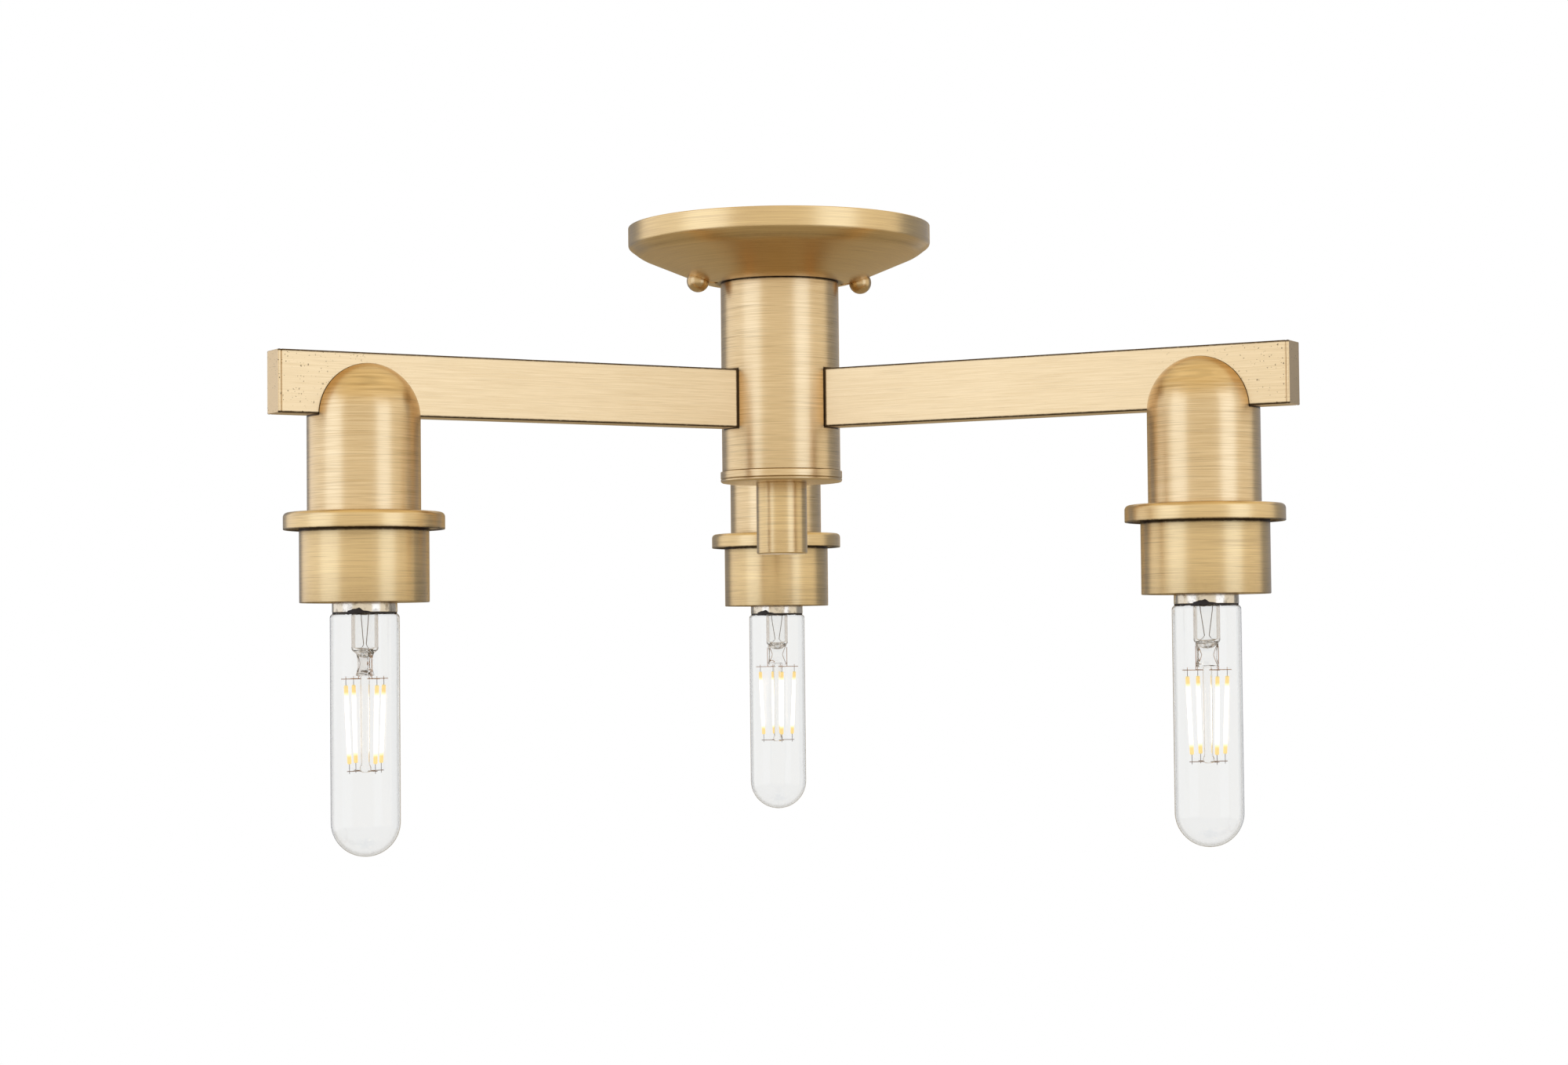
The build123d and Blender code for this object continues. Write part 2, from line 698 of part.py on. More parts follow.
for number, (angle, turn) in enumerate(zip(arm_angles, filament_turns), start=1):
    with BuildPart() as bulb_cap:
        with BuildSketch(section_plane(angle, lamp_reach)):
            with BuildLine():
                thread_points = []
                for rib in range(thread_turns):
                    low = thread_end + rib * thread_pitch
                    thread_points.append((thread_root, low))
                    thread_points.append((cap_thread_radius, low + thread_pitch / 2))
                Polyline(
                    (collar_radius - cap_sheet, glass_top),
                    (collar_radius, glass_top),
                    (collar_radius, collar_top),
                    *thread_points,
                    (thread_root, thread_top),
                    (insulator_radius, cap_top),
                    (insulator_radius - cap_sheet, cap_top),
                    (insulator_radius - cap_sheet, cap_top - cap_sheet),
                    (thread_root - cap_sheet, thread_top - cap_sheet),
                    (thread_root - cap_sheet, thread_end),
                    (collar_radius - cap_sheet, collar_top - cap_sheet),
                    close=True,
                )
            make_face()
        revolve(axis=upright_axis(angle, lamp_reach))
    bulb_cap.part.label = f"bulb_{number}_cap"
    export_step(bulb_cap.part, f"parts/bulb_{number}_cap.step")

    with BuildPart() as bulb_tip:
        with BuildSketch(section_plane(angle, lamp_reach)):
            with BuildLine():
                Polyline(
                    (0, cap_top),
                    (insulator_radius, cap_top),
                    (tip_radius + cap_sheet, insulator_top),
                    (0, insulator_top),
                    close=True,
                )
            make_face()
        revolve(axis=upright_axis(angle, lamp_reach))
        with BuildSketch(level_plane(angle, lamp_reach, insulator_top)):
            Circle(tip_radius)
        extrude(amount=tip_height)
        fillet(bulb_tip.edges().group_by(Axis.Z)[-1], radius=tip_height / 2)
    bulb_tip.part.label = f"bulb_{number}_tip"
    export_step(bulb_tip.part, f"parts/bulb_{number}_tip.step")

    with BuildPart() as bulb_glass:
        with BuildSketch(section_plane(angle, lamp_reach)):
            with BuildLine():
                Line((glass_neck_radius - glass_wall, neck_top), (glass_neck_radius, neck_top))
                Line((glass_neck_radius, neck_top), (glass_neck_radius, glass_top))
                Line((glass_neck_radius, glass_top), (glass_radius, shoulder_end))
                Line((glass_radius, shoulder_end), (glass_radius, glass_tip))
                CenterArc((0, glass_tip), glass_radius, 270, 90)
                Line((0, bulb_end), (0, bulb_end + glass_wall))
                CenterArc((0, glass_tip), glass_radius - glass_wall, 270, 90)
                Line((glass_radius - glass_wall, glass_tip), (glass_radius - glass_wall, shoulder_end))
                Line((glass_radius - glass_wall, shoulder_end), (glass_neck_radius - glass_wall, glass_top))
                Line((glass_neck_radius - glass_wall, glass_top), (glass_neck_radius - glass_wall, neck_top))
            make_face()
            shoulder_corners = [
                (glass_radius, shoulder_end),
                (glass_neck_radius, glass_top),
            ]
            fillet([vertices().sort_by_distance(corner)[0] for corner in shoulder_corners], radius=glass_wall)
        revolve(axis=upright_axis(angle, lamp_reach))
    bulb_glass.part.label = f"bulb_{number}_glass"
    export_step(bulb_glass.part, f"parts/bulb_{number}_glass.step")

    with BuildPart() as bulb_stem:
        with BuildSketch(section_plane(angle, lamp_reach)):
            with BuildLine():
                Polyline(
                    (stem_tube_radius - stem_tube_wall, neck_top),
                    (glass_neck_radius - glass_wall - touch_gap, neck_top),
                    (glass_neck_radius - glass_wall - touch_gap, neck_top - stem_flange_height),
                    (stem_tube_radius, neck_top - 3 * stem_flange_height),
                    (stem_tube_radius, press_top),
                    (press_thickness / 2, press_top - stem_tube_radius / 2),
                    (0, press_top - stem_tube_radius / 2),
                    (0, press_top),
                    (stem_tube_radius - stem_tube_wall, press_top),
                    close=True,
                )
            make_face()
        revolve(axis=upright_axis(angle, lamp_reach))
        with BuildSketch(bulb_plane(angle, turn, press_top)):
            RectangleRounded(press_width, press_thickness, press_thickness / 3)
        extrude(amount=-press_length)
        with BuildSketch(bulb_plane(angle, turn, press_end)):
            Circle(rod_radius)
        extrude(amount=lower_wire_height - rod_spare - press_end)
        fillet(bulb_stem.edges().group_by(Axis.Z)[0], radius=rod_radius / 2)
    bulb_stem.part.label = f"bulb_{number}_stem"
    export_step(bulb_stem.part, f"parts/bulb_{number}_stem.step")

    with BuildPart() as bulb_filaments:
        for step in range(filament_count):
            place = bulb_plane(angle, turn + 360 / filament_count * step)
            upper = place.from_local_coords((filament_upper_reach, 0, filament_top))
            lower = place.from_local_coords((filament_lower_reach, 0, filament_end))
            with BuildSketch(strut_plane(upper, lower)):
                Circle(filament_radius)
            extrude(amount=(lower - upper).length)
    bulb_filaments.part.label = f"bulb_{number}_filaments"
    export_step(bulb_filaments.part, f"parts/bulb_{number}_filaments.step")

    with BuildPart() as bulb_wires:
        for step in range(filament_count):
            place = bulb_plane(angle, turn + 360 / filament_count * step)
            for height, reach, hook_reach, hook_end in (
                (upper_wire_height, upper_wire_reach, filament_upper_reach, filament_top + touch_gap),
                (lower_wire_height, lower_wire_reach, filament_lower_reach, filament_end - touch_gap),
            ):
                inner = place.from_local_coords((rod_radius + touch_gap, 0, height))
                outer = place.from_local_coords((reach, 0, height))
                with BuildSketch(strut_plane(inner, outer)):
                    Circle(wire_radius)
                extrude(amount=(outer - inner).length)
                knee = place.from_local_coords((hook_reach, 0, height))
                hook = place.from_local_coords((hook_reach, 0, hook_end))
                with BuildSketch(strut_plane(knee, hook)):
                    Circle(hook_radius)
                extrude(amount=(hook - knee).length)
        place = bulb_plane(angle, turn)
        for side in (-1, 1):
            head = place.from_local_coords((side * lead_in_spread, 0, neck_top))
            foot = place.from_local_coords((side * lead_in_foot, 0, press_top + 2 * wire_radius))
            with BuildSketch(strut_plane(head, foot)):
                Circle(wire_radius)
            extrude(amount=(foot - head).length)
            exit_point = place.from_local_coords((side * lead_out_reach, 0, lead_out_top))
            meeting = place.from_local_coords((side * lead_out_reach, 0, upper_wire_height))
            with BuildSketch(strut_plane(exit_point, meeting)):
                Circle(hook_radius)
            extrude(amount=(meeting - exit_point).length)
    bulb_wires.part.label = f"bulb_{number}_wires"
    export_step(bulb_wires.part, f"parts/bulb_{number}_wires.step")

# Wiring: black and white leads from each lampholder meet in two connectors inside the column,
# and two supply leads and a ground lead run up through the canopy nipple
black_slots = {210: (-1, -1), 330: (1, -1), 90: (1, 1)}
white_slots = {210: (-1, -1), 330: (1, -1), 90: (-1, 1)}
lead_foot = web_top + touch_gap
lead_end_drop = connector_top_drop + connector_bore_depth / 2
bridge_top = -bridge_drop
runs = (
    ("black_leads", 1, -connector_reach, black_lead_drop, black_slots, (-1, 1), 250),
    ("white_leads", -1, connector_reach, white_lead_drop, white_slots, (1, 1), 290),
)
for lead_name, side, connector_x, lead_drop, slots, supply_slot, supply_angle in runs:
    with BuildPart() as leads:
        for angle in arm_angles:
            across, along = slots[angle]
            place = level_plane(angle)
            slot_x = connector_x + across * bundle_offset
            slot_y = along * bundle_offset
            with BuildLine() as route:
                FilletPolyline(
                    place.from_local_coords((lamp_reach, side * lead_offset, lead_foot)),
                    place.from_local_coords((lamp_reach, side * lead_offset, -lead_drop)),
                    place.from_local_coords((lead_turn_reach, side * lead_offset, -lead_drop)),
                    (slot_x, slot_y, -lead_drop),
                    (slot_x, slot_y, -lead_end_drop),
                    radius=[lead_corner_radius, lead_bend_radius, lead_bend_radius],
                )
            with BuildSketch(Plane(origin=route.line @ 0, z_dir=route.line % 0)):
                Circle(lead_radius)
            sweep(path=route.line)
        slot_x = connector_x + supply_slot[0] * bundle_offset
        slot_y = supply_slot[1] * bundle_offset
        nipple_point = outward(270 - side * 60, supply_offset)
        supply_end = nipple_point + outward(supply_angle, supply_reach)
        with BuildLine() as route:
            FilletPolyline(
                (supply_end.X, supply_end.Y, -supply_drop),
                (nipple_point.X, nipple_point.Y, -supply_drop),
                (nipple_point.X, nipple_point.Y, -supply_bend_drop),
                (slot_x, slot_y, -supply_turn_drop),
                (slot_x, slot_y, -lead_end_drop),
                radius=lead_bend_radius,
            )
        with BuildSketch(Plane(origin=route.line @ 0, z_dir=route.line % 0)):
            Circle(lead_radius)
        sweep(path=route.line)
        with BuildSketch(Plane(origin=route.line @ 0, z_dir=-(route.line % 0))):
            Circle(bare_radius)
        extrude(amount=bare_length)
    leads.part.label = lead_name
    export_step(leads.part, f"parts/{lead_name}.step")

with BuildPart() as ground_lead:
    with BuildLine() as route:
        FilletPolyline(
            (0, supply_offset + supply_reach, -supply_drop),
            (0, supply_offset, -supply_drop),
            (0, supply_offset, -supply_bend_drop),
            (0, supply_offset + ground_lead_shift, -supply_turn_drop),
            (0, supply_offset + ground_lead_shift, bridge_top),
            radius=lead_bend_radius,
        )
    with BuildSketch(Plane(origin=route.line @ 0, z_dir=route.line % 0)):
        Circle(lead_radius)
    sweep(path=route.line)
    with BuildSketch(Plane(origin=route.line @ 0, z_dir=-(route.line % 0))):
        Circle(bare_radius)
    extrude(amount=bare_length)
ground_lead.part.label = "ground_lead"
export_step(ground_lead.part, "parts/ground_lead.step")

with BuildPart() as wire_connectors:
    with BuildSketch(Plane.XY.offset(-connector_top_drop)):
        with GridLocations(2 * connector_reach, 0, 2, 1):
            Circle(connector_radius)
    extrude(amount=-connector_length, taper=connector_taper)
    with BuildSketch(Plane.XY.offset(-connector_top_drop)):
        with GridLocations(2 * connector_reach, 0, 2, 1):
            Circle(connector_bore)
    extrude(amount=-connector_bore_depth, mode=Mode.SUBTRACT)
wire_connectors.part.label = "wire_connectors"
export_step(wire_connectors.part, "parts/wire_connectors.step")
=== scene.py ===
import json
import math

import bpy
from mathutils import Matrix, Vector


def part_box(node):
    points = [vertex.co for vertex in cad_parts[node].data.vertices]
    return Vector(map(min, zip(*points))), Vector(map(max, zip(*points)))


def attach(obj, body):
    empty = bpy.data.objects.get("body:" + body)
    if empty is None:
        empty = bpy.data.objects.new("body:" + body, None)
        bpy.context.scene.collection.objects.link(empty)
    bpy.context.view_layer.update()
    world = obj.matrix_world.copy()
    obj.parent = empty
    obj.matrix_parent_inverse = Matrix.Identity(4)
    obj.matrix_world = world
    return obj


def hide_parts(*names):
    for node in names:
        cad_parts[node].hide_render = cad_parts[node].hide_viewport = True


# A three-arm semi-flush ceiling light in brushed, aged brass. Lengths are in metres.
# The ceiling is the plane z = 0, and the light hangs below it on the Z axis.

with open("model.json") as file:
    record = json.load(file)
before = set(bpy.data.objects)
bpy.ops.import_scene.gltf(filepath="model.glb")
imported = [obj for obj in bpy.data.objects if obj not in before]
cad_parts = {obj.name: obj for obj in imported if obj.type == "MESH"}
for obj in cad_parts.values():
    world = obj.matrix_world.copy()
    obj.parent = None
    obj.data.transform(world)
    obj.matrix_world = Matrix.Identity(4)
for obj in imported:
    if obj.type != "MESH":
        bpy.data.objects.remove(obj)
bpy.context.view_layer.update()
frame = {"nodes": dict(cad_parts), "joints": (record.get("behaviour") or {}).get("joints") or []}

# By arm number, in degrees: the arm's direction, and how far its bulb and its cement line are turned
arm_angles = {1: 210, 2: 330, 3: 90}
bulb_turns = {1: 129, 2: 17, 3: 14}
cement_turns = {1: 34, 2: 25, 3: 10}

# Roundings, walls and bores that the frame doesn't give
round_steps = 128
seam_rounding = 0.0004
canopy_wall = 0.0012
canopy_bore = 0.0052
canopy_rim_height = 0.010
canopy_rim_rounding = 0.0025
canopy_shoulder_radius = 0.070
canopy_shoulder_height = 0.0145
canopy_shoulder_rounding = 0.020
canopy_floor_radius = 0.037
canopy_floor_rounding = 0.030
canopy_edge_roll = 0.0005
column_wall = 0.0015
tube_wall = 0.0012
holder_bore = 0.0051
ring_rounding = 0.0022
cup_rounding = 0.002
base_groove_drop = 0.0034
base_groove_width = 0.0007
base_groove_depth = 0.00035
base_rounding = 0.0012
base_bore = 0.0035
base_floor = 0.0015
base_lip_inset = 0.0018
arm_rounding = 0.00045
stub_chamfer = 0.0005
stub_bore = 0.0033
ball_nut_bore = 0.0021
glass_wall = 0.0008


def piece_box(node):
    """Lowest and highest corner of a node, and its size."""
    low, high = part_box(node)
    return low, high, high - low


def outward(angle, reach, height=0.0):
    """Point at that angle, reach and height."""
    turn = math.radians(angle)
    return Vector((reach * math.cos(turn), reach * math.sin(turn), height))


hinges = {joint["name"]: joint for joint in frame["joints"]}
lamp_reach = Vector(hinges["bulb_1_turn"]["pos_m"][:2]).length
arm_low, arm_high, arm_size = piece_box("arm_3")
arm_top, arm_bottom = arm_high.z, arm_low.z
arm_half = arm_size.x / 2
arm_height = (arm_top + arm_bottom) / 2
arm_half_tall = (arm_top - arm_bottom) / 2
arm_start, arm_stop = arm_low.y, arm_high.y


# Shader values and finishes
class Value:
    """A shader socket that takes part in sums, products and powers."""

    def __init__(self, finish, socket):
        self.finish = finish
        self.socket = socket

    def _math(self, operation, *terms):
        inputs = dict(enumerate(terms))
        return self.finish.node("Math", {"operation": operation}, inputs)

    def __add__(self, other):
        return self._math("ADD", self, other)

    def __radd__(self, other):
        return self._math("ADD", other, self)

    def __sub__(self, other):
        return self._math("SUBTRACT", self, other)

    def __rsub__(self, other):
        return self._math("SUBTRACT", other, self)

    def __mul__(self, other):
        return self._math("MULTIPLY", self, other)

    def __rmul__(self, other):
        return self._math("MULTIPLY", other, self)

    def __truediv__(self, other):
        return self._math("DIVIDE", self, other)

    def __pow__(self, other):
        return self._math("POWER", self, other)

    def __abs__(self):
        return self._math("ABSOLUTE", self)

    def lower_of(self, other):
        return self._math("MINIMUM", self, other)

    def upper_of(self, other):
        return self._math("MAXIMUM", self, other)

    def clipped(self):
        return self.lower_of(1.0).upper_of(0.0)

    def near(self, level, width):
        """1 at the level, falling to 0 at that distance from it."""
        return (1 - abs(self - level) / width).clipped()

    def over(self, level, width):
        """0 below the level, rising to 1 within that width."""
        return ((self - level) / width).clipped()


class Finish:
    """A material or a world, made of nodes."""

    def __init__(self, name, owner=None):
        self.owner = owner or bpy.data.materials.new(name)
        self.owner.use_nodes = True
        self.tree = self.owner.node_tree
        self.tree.nodes.clear()

    def node(self, kind, settings=None, inputs=None, output=0):
        """Adds a node with its settings and its inputs, and gives one of its outputs."""
        made = self.tree.nodes.new("ShaderNode" + kind)
        for key, value in (settings or {}).items():
            if key == "stops":
                self._set_stops(made.color_ramp, value)
            else:
                setattr(made, key, value)
        for key, value in (inputs or {}).items():
            if isinstance(value, Value):
                self.tree.links.new(value.socket, made.inputs[key])
            else:
                made.inputs[key].default_value = value
        return Value(self, made.outputs[output]) if len(made.outputs) else None

    @staticmethod
    def _set_stops(ramp, stops):
        while len(ramp.elements) < len(stops):
            ramp.elements.new(0.5)
        for element, (place, color) in zip(ramp.elements, stops):
            element.position = place
            element.color = (*color, 1)

    def position(self, center=(0, 0, 0), turn=0):
        """Object coordinates about a centre, turned so that X runs along that direction."""
        coordinates = self.node("TexCoord", output=3)
        moved = self.node("VectorMath", {"operation": "SUBTRACT"}, {0: coordinates, 1: center})
        settings = {"rotation_type": "Z_AXIS"}
        return self.node("VectorRotate", settings, {"Vector": moved, "Angle": -math.radians(turn)})

    def parts(self, vector):
        return [self.node("SeparateXYZ", inputs={0: vector}, output=axis) for axis in range(3)]

    def joined(self, x, y, z):
        return self.node("CombineXYZ", inputs={0: x, 1: y, 2: z})

    def noise(self, vector, scale, detail=2.0, roughness=0.5):
        inputs = {"Vector": vector, "Scale": scale, "Detail": detail, "Roughness": roughness}
        return self.node("TexNoise", inputs=inputs)

    def bump(self, height, strength, distance):
        return self.node("Bump", inputs={"Height": height, "Strength": strength, "Distance": distance})

    def mixed(self, factor, first, second):
        """Colour between the first and the second."""
        inputs = {0: factor, 6: self._color(first), 7: self._color(second)}
        return self.node("Mix", {"data_type": "RGBA"}, inputs, output=2)

    @staticmethod
    def _color(color):
        return color if isinstance(color, Value) else (*color, 1)

    def surface(self, **inputs):
        """Ends the material in a Principled surface with those inputs."""
        named = {key.replace("_", " ").title().replace("Ior", "IOR"): value
                 for key, value in inputs.items()}
        for key in ("Base Color", "Emission Color"):
            if key in named:
                named[key] = self._color(named[key])
        return self.output(self.node("BsdfPrincipled", inputs=named))

    def output(self, shader):
        self.node("OutputMaterial", inputs={"Surface": shader})
        return self.owner


def from_axis(x, y):
    """Distance from the Z axis."""
    return (x * x + y * y) ** 0.5


brass_light = (0.83, 0.61, 0.325)
brass_deep = (0.60, 0.405, 0.185)
brass_warm = (0.80, 0.568, 0.256)
# Dark brass: patina in the brushing strokes, and painted shade where the dark_edges masks fall
brass_patina_and_shade = (0.070, 0.040, 0.015)


def brushed_brass(name, center=(0, 0, 0), turn=0, turned=True, dark_edges=None, tone=0.0,
                  roughness=0.32, grain=1.0, light=brass_light):
    """Brushed, lacquered brass: fine lines run round a turned piece, or along X on a flat one."""
    finish = Finish(name)
    place = finish.position(center, turn)
    x, y, z = finish.parts(place)
    line_along, line_across = (36, 2800) if turned else (45, 2600)
    stroke_along, stroke_across = (30, 2100) if turned else (50, 1700)
    if turned:
        depth = z + from_axis(x, y) * 1.3
        lines = finish.joined(x * line_along, y * line_along, depth * line_across)
        strokes = finish.joined(x * stroke_along, y * stroke_along, depth * stroke_across)
    else:
        lines = finish.joined(x * line_along, y * line_across, z * line_across)
        strokes = finish.joined(x * stroke_along, y * stroke_across, z * stroke_across)
    fine = finish.noise(lines, 1.0, 3.0, 0.6)
    stroke = finish.noise(strokes, 1.0, 2.0, 0.6).over(0.54, 0.16)
    cloud = finish.noise(place, 30.0, 3.0)
    shade = (fine * 0.8 + cloud * 0.2 + tone).clipped()
    middle_shade = 0.495
    reach_of_shade = 0.165 if turned else 0.25
    stops = [(middle_shade - reach_of_shade, brass_deep), (middle_shade + reach_of_shade, light)]
    color = finish.node("ValToRGB", {"stops": stops}, {0: shade})
    color = finish.mixed(stroke * (0.26 * grain), color, brass_patina_and_shade)
    lacquer = 0.4
    # Painted shade: the dark_edges mask darkens seams, grooves, recesses and edges where shade falls
    # (arm specks aside), broken up by a fine noise
    if dark_edges:
        shade_mottle = finish.noise(place, 420.0, 4.0, 0.7)
        mask = (dark_edges(finish, x, y, z) * (0.35 + shade_mottle * 1.1)).clipped()
        color = finish.mixed(mask, color, brass_patina_and_shade)
        lacquer = lacquer - mask * 0.35
    bump = finish.bump(fine - stroke * 0.5, 0.07, 0.0003)
    return finish.surface(
        base_color=color, metallic=1.0,
        roughness=roughness + (fine - 0.5) * 0.2 + (cloud - 0.5) * 0.08,
        anisotropic=0.5 if turned else 0.0, anisotropic_rotation=0.25 if turned else 0.0,
        coat_weight=lacquer, coat_roughness=0.35, normal=bump,
    )


def plain_metal(name, color, roughness, tarnish=0.0):
    """Bare metal with a fine grain, a slight cloud and, where asked, stains of tarnish."""
    finish = Finish(name)
    place = finish.position()
    cloud = finish.noise(place, 60.0, 4.0)
    fine = finish.noise(place, 900.0, 2.0)
    shade = finish.mixed(cloud, [part * 0.75 for part in color], color)
    if tarnish:
        stains = finish.noise(place, 260.0, 4.0, 0.7).over(0.50, 0.12)
        shade = finish.mixed(stains * tarnish, shade, (0.13, 0.10, 0.07))
    return finish.surface(
        base_color=shade, metallic=1.0, roughness=roughness + (fine - 0.5) * 0.15,
        normal=finish.bump(fine, 0.05, 0.0003),
    )


def molded(name, color, roughness, coat=0.0):
    """Plastic, glaze or wire sleeve with a faint mottle."""
    finish = Finish(name)
    place = finish.position()
    cloud = finish.noise(place, 90.0, 3.0)
    shade = finish.mixed(cloud, [part * 0.86 for part in color], color)
    bump = finish.bump(finish.noise(place, 700.0, 2.0), 0.04, 0.0003)
    return finish.surface(
        base_color=shade, roughness=roughness + (cloud - 0.5) * 0.1, coat_weight=coat, normal=bump,
    )


def clear_glass(name, clear, edge, rim=0.60, roughness=0.0):
    """Clear lamp glass with faint draw lines, and painted shade where it is seen edge on, from the rim
    value up.
    """
    finish = Finish(name)
    facing = finish.node("LayerWeight", inputs={"Blend": 0.5}, output="Facing")
    tint = finish.mixed(facing.over(rim, 0.25) * 0.85 + facing ** 3 * 0.15, clear, edge)
    x, y, z = finish.parts(finish.position())
    waves = finish.noise(finish.joined(x * 60, y * 60, z * 6), 4.0, 2.0)
    # The warm specular tint offsets the blue of the softboxes in the glass's reflections
    return finish.surface(
        base_color=tint, roughness=roughness, ior=1.46, transmission_weight=1.0,
        specular_tint=(1.0, 0.80, 0.55, 1.0), normal=finish.bump(waves, 0.012, 0.0005),
    )


# Modelling
def start_editing():
    """Edit mode with the whole mesh selected."""
    bpy.ops.object.mode_set(mode="EDIT")
    bpy.ops.mesh.select_all(action="SELECT")


def stop_editing():
    bpy.ops.object.mode_set(mode="OBJECT")
    return bpy.context.object


def clean_mesh(angle=35):
    """Merges doubles, turns faces outwards and smooths all but sharp edges."""
    start_editing()
    bpy.ops.mesh.remove_doubles(threshold=1e-6)
    bpy.ops.mesh.normals_make_consistent(inside=False)
    made = stop_editing()
    bpy.ops.object.transform_apply(location=True, rotation=True, scale=True)
    bpy.ops.object.shade_smooth_by_angle(angle=math.radians(angle))
    return made


def rounded(corners, closed=False, steps=6):
    """Profile points through corners of (reach, height, rounding), with an arc at each rounding."""
    points = []
    count = len(corners)
    for index, (reach, height, rounding) in enumerate(corners):
        corner = Vector((reach, height))
        if not rounding or (not closed and index in (0, count - 1)):
            points.append(corner)
            continue
        before = (Vector(corners[index - 1][:2]) - corner).normalized()
        after = (Vector(corners[(index + 1) % count][:2]) - corner).normalized()
        half = before.angle(after) / 2
        center = corner + (before + after).normalized() * rounding / math.sin(half)
        start = corner + before * rounding / math.tan(half) - center
        sweep = start.angle_signed(corner + after * rounding / math.tan(half) - center)
        for step in range(steps + 1):
            points.append(center + Matrix.Rotation(-sweep * step / steps, 2) @ start)
    return points


def quarter_round(radius, height, steps, side=1, first=0):
    """Points from the side of a dome towards its pole, above the height or, with side -1, below it."""
    turns = [math.pi / 2 * step / steps for step in range(first, steps)]
    return [(radius * math.cos(turn), height + side * radius * math.sin(turn)) for turn in turns]


def turned(profile, closed=False, steps=round_steps):
    """Turns a profile of (reach, height) points round the Z axis, ring by ring."""
    first = profile[0]
    bpy.ops.mesh.primitive_circle_add(vertices=steps, radius=first[0], location=(0, 0, first[1]))
    start_editing()
    reach, height = first
    for next_reach, next_height in list(profile[1:]) + ([first] if closed else []):
        move = {"value": (0, 0, next_height - height)}
        bpy.ops.mesh.extrude_region_move(TRANSFORM_OT_translate=move)
        share = next_reach / reach
        bpy.ops.transform.resize(value=(share, share, 1), center_override=(0, 0, next_height))
        reach, height = next_reach, next_height
        if not reach:
            break
    stop_editing()
    return clean_mesh()


def block(low, high, rounding=0.0):
    """A box between two corners with rounded edges."""
    bpy.ops.mesh.primitive_cube_add(size=1, location=(Vector(low) + Vector(high)) / 2)
    bpy.context.object.scale = Vector(high) - Vector(low)
    bpy.ops.object.transform_apply(location=True, rotation=True, scale=True)
    if rounding:
        start_editing()
        bpy.ops.mesh.bevel(offset=rounding, segments=3, affect="EDGES")
        stop_editing()
    return bpy.context.object


def rod(start, end, radius, steps):
    """A straight round rod with rounded ends."""
    start, end = Vector(start), Vector(end)
    along = end - start
    bpy.ops.mesh.primitive_cylinder_add(
        vertices=steps, radius=radius, depth=along.length, location=(start + end) / 2,
        rotation=along.to_track_quat("Z", "Y").to_euler(),
    )
    start_editing()
    bpy.ops.mesh.select_mode(type="FACE")
    stop_editing()
    made = bpy.context.object
    for face in made.data.polygons:
        face.select = len(face.vertices) > 4
    bpy.ops.object.mode_set(mode="EDIT")
    bpy.ops.mesh.bevel(offset=radius * 0.6, segments=3, affect="EDGES")
    stop_editing()
    return clean_mesh(60)


def join(objects):
    """Makes one object of several, by the first one's name."""
    bpy.ops.object.select_all(action="DESELECT")
    for part in objects:
        part.select_set(True)
    bpy.context.view_layer.objects.active = objects[0]
    bpy.ops.object.join()
    return bpy.context.object


def cut(made, *cutters):
    """Cuts the other solids out of the first and removes them."""
    for cutter in cutters:
        bpy.ops.object.select_all(action="DESELECT")
        made.select_set(True)
        bpy.context.view_layer.objects.active = made
        modifier = made.modifiers.new("cut", "BOOLEAN")
        modifier.operation = "DIFFERENCE"
        modifier.solver = "EXACT"
        modifier.object = cutter
        bpy.ops.object.modifier_apply(modifier=modifier.name)
        bpy.data.objects.remove(cutter)
    bpy.ops.object.shade_smooth_by_angle(angle=math.radians(35))
    return made


def placed_copy(made, transform):
    """A copy with its own mesh, moved within its mesh."""
    copy = made.copy()
    copy.data = made.data.copy()
    copy.data.transform(transform)
    bpy.context.scene.collection.objects.link(copy)
    return copy


def fit_out(made, name, body, slot, material, *nodes):
    """Names a finished piece, gives it its body and material, and hides the nodes it stands for. The
    slot is not used.
    """
    made.name = name
    made.data.name = name
    made.data.materials.clear()
    made.data.materials.append(material)
    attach(made, body)
    if nodes:
        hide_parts(*nodes)
    return made


def paint(material, *nodes):
    """Gives CAD nodes that keep their shape a better material."""
    for node in nodes:
        mesh = frame["nodes"][node].data
        mesh.materials.clear()
        mesh.materials.append(material)


bpy.ops.object.select_all(action="DESELECT")

# Canopy
canopy_low, canopy_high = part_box("canopy")
canopy_radius = (canopy_high - canopy_low).x / 2
stud_angle = 9  # degrees from the X axis
stud_reach = Vector(hinges["ball_nut_right_turn"]["pos_m"][:2]).length
slot_half = 0.00275
slot_inner = 0.034


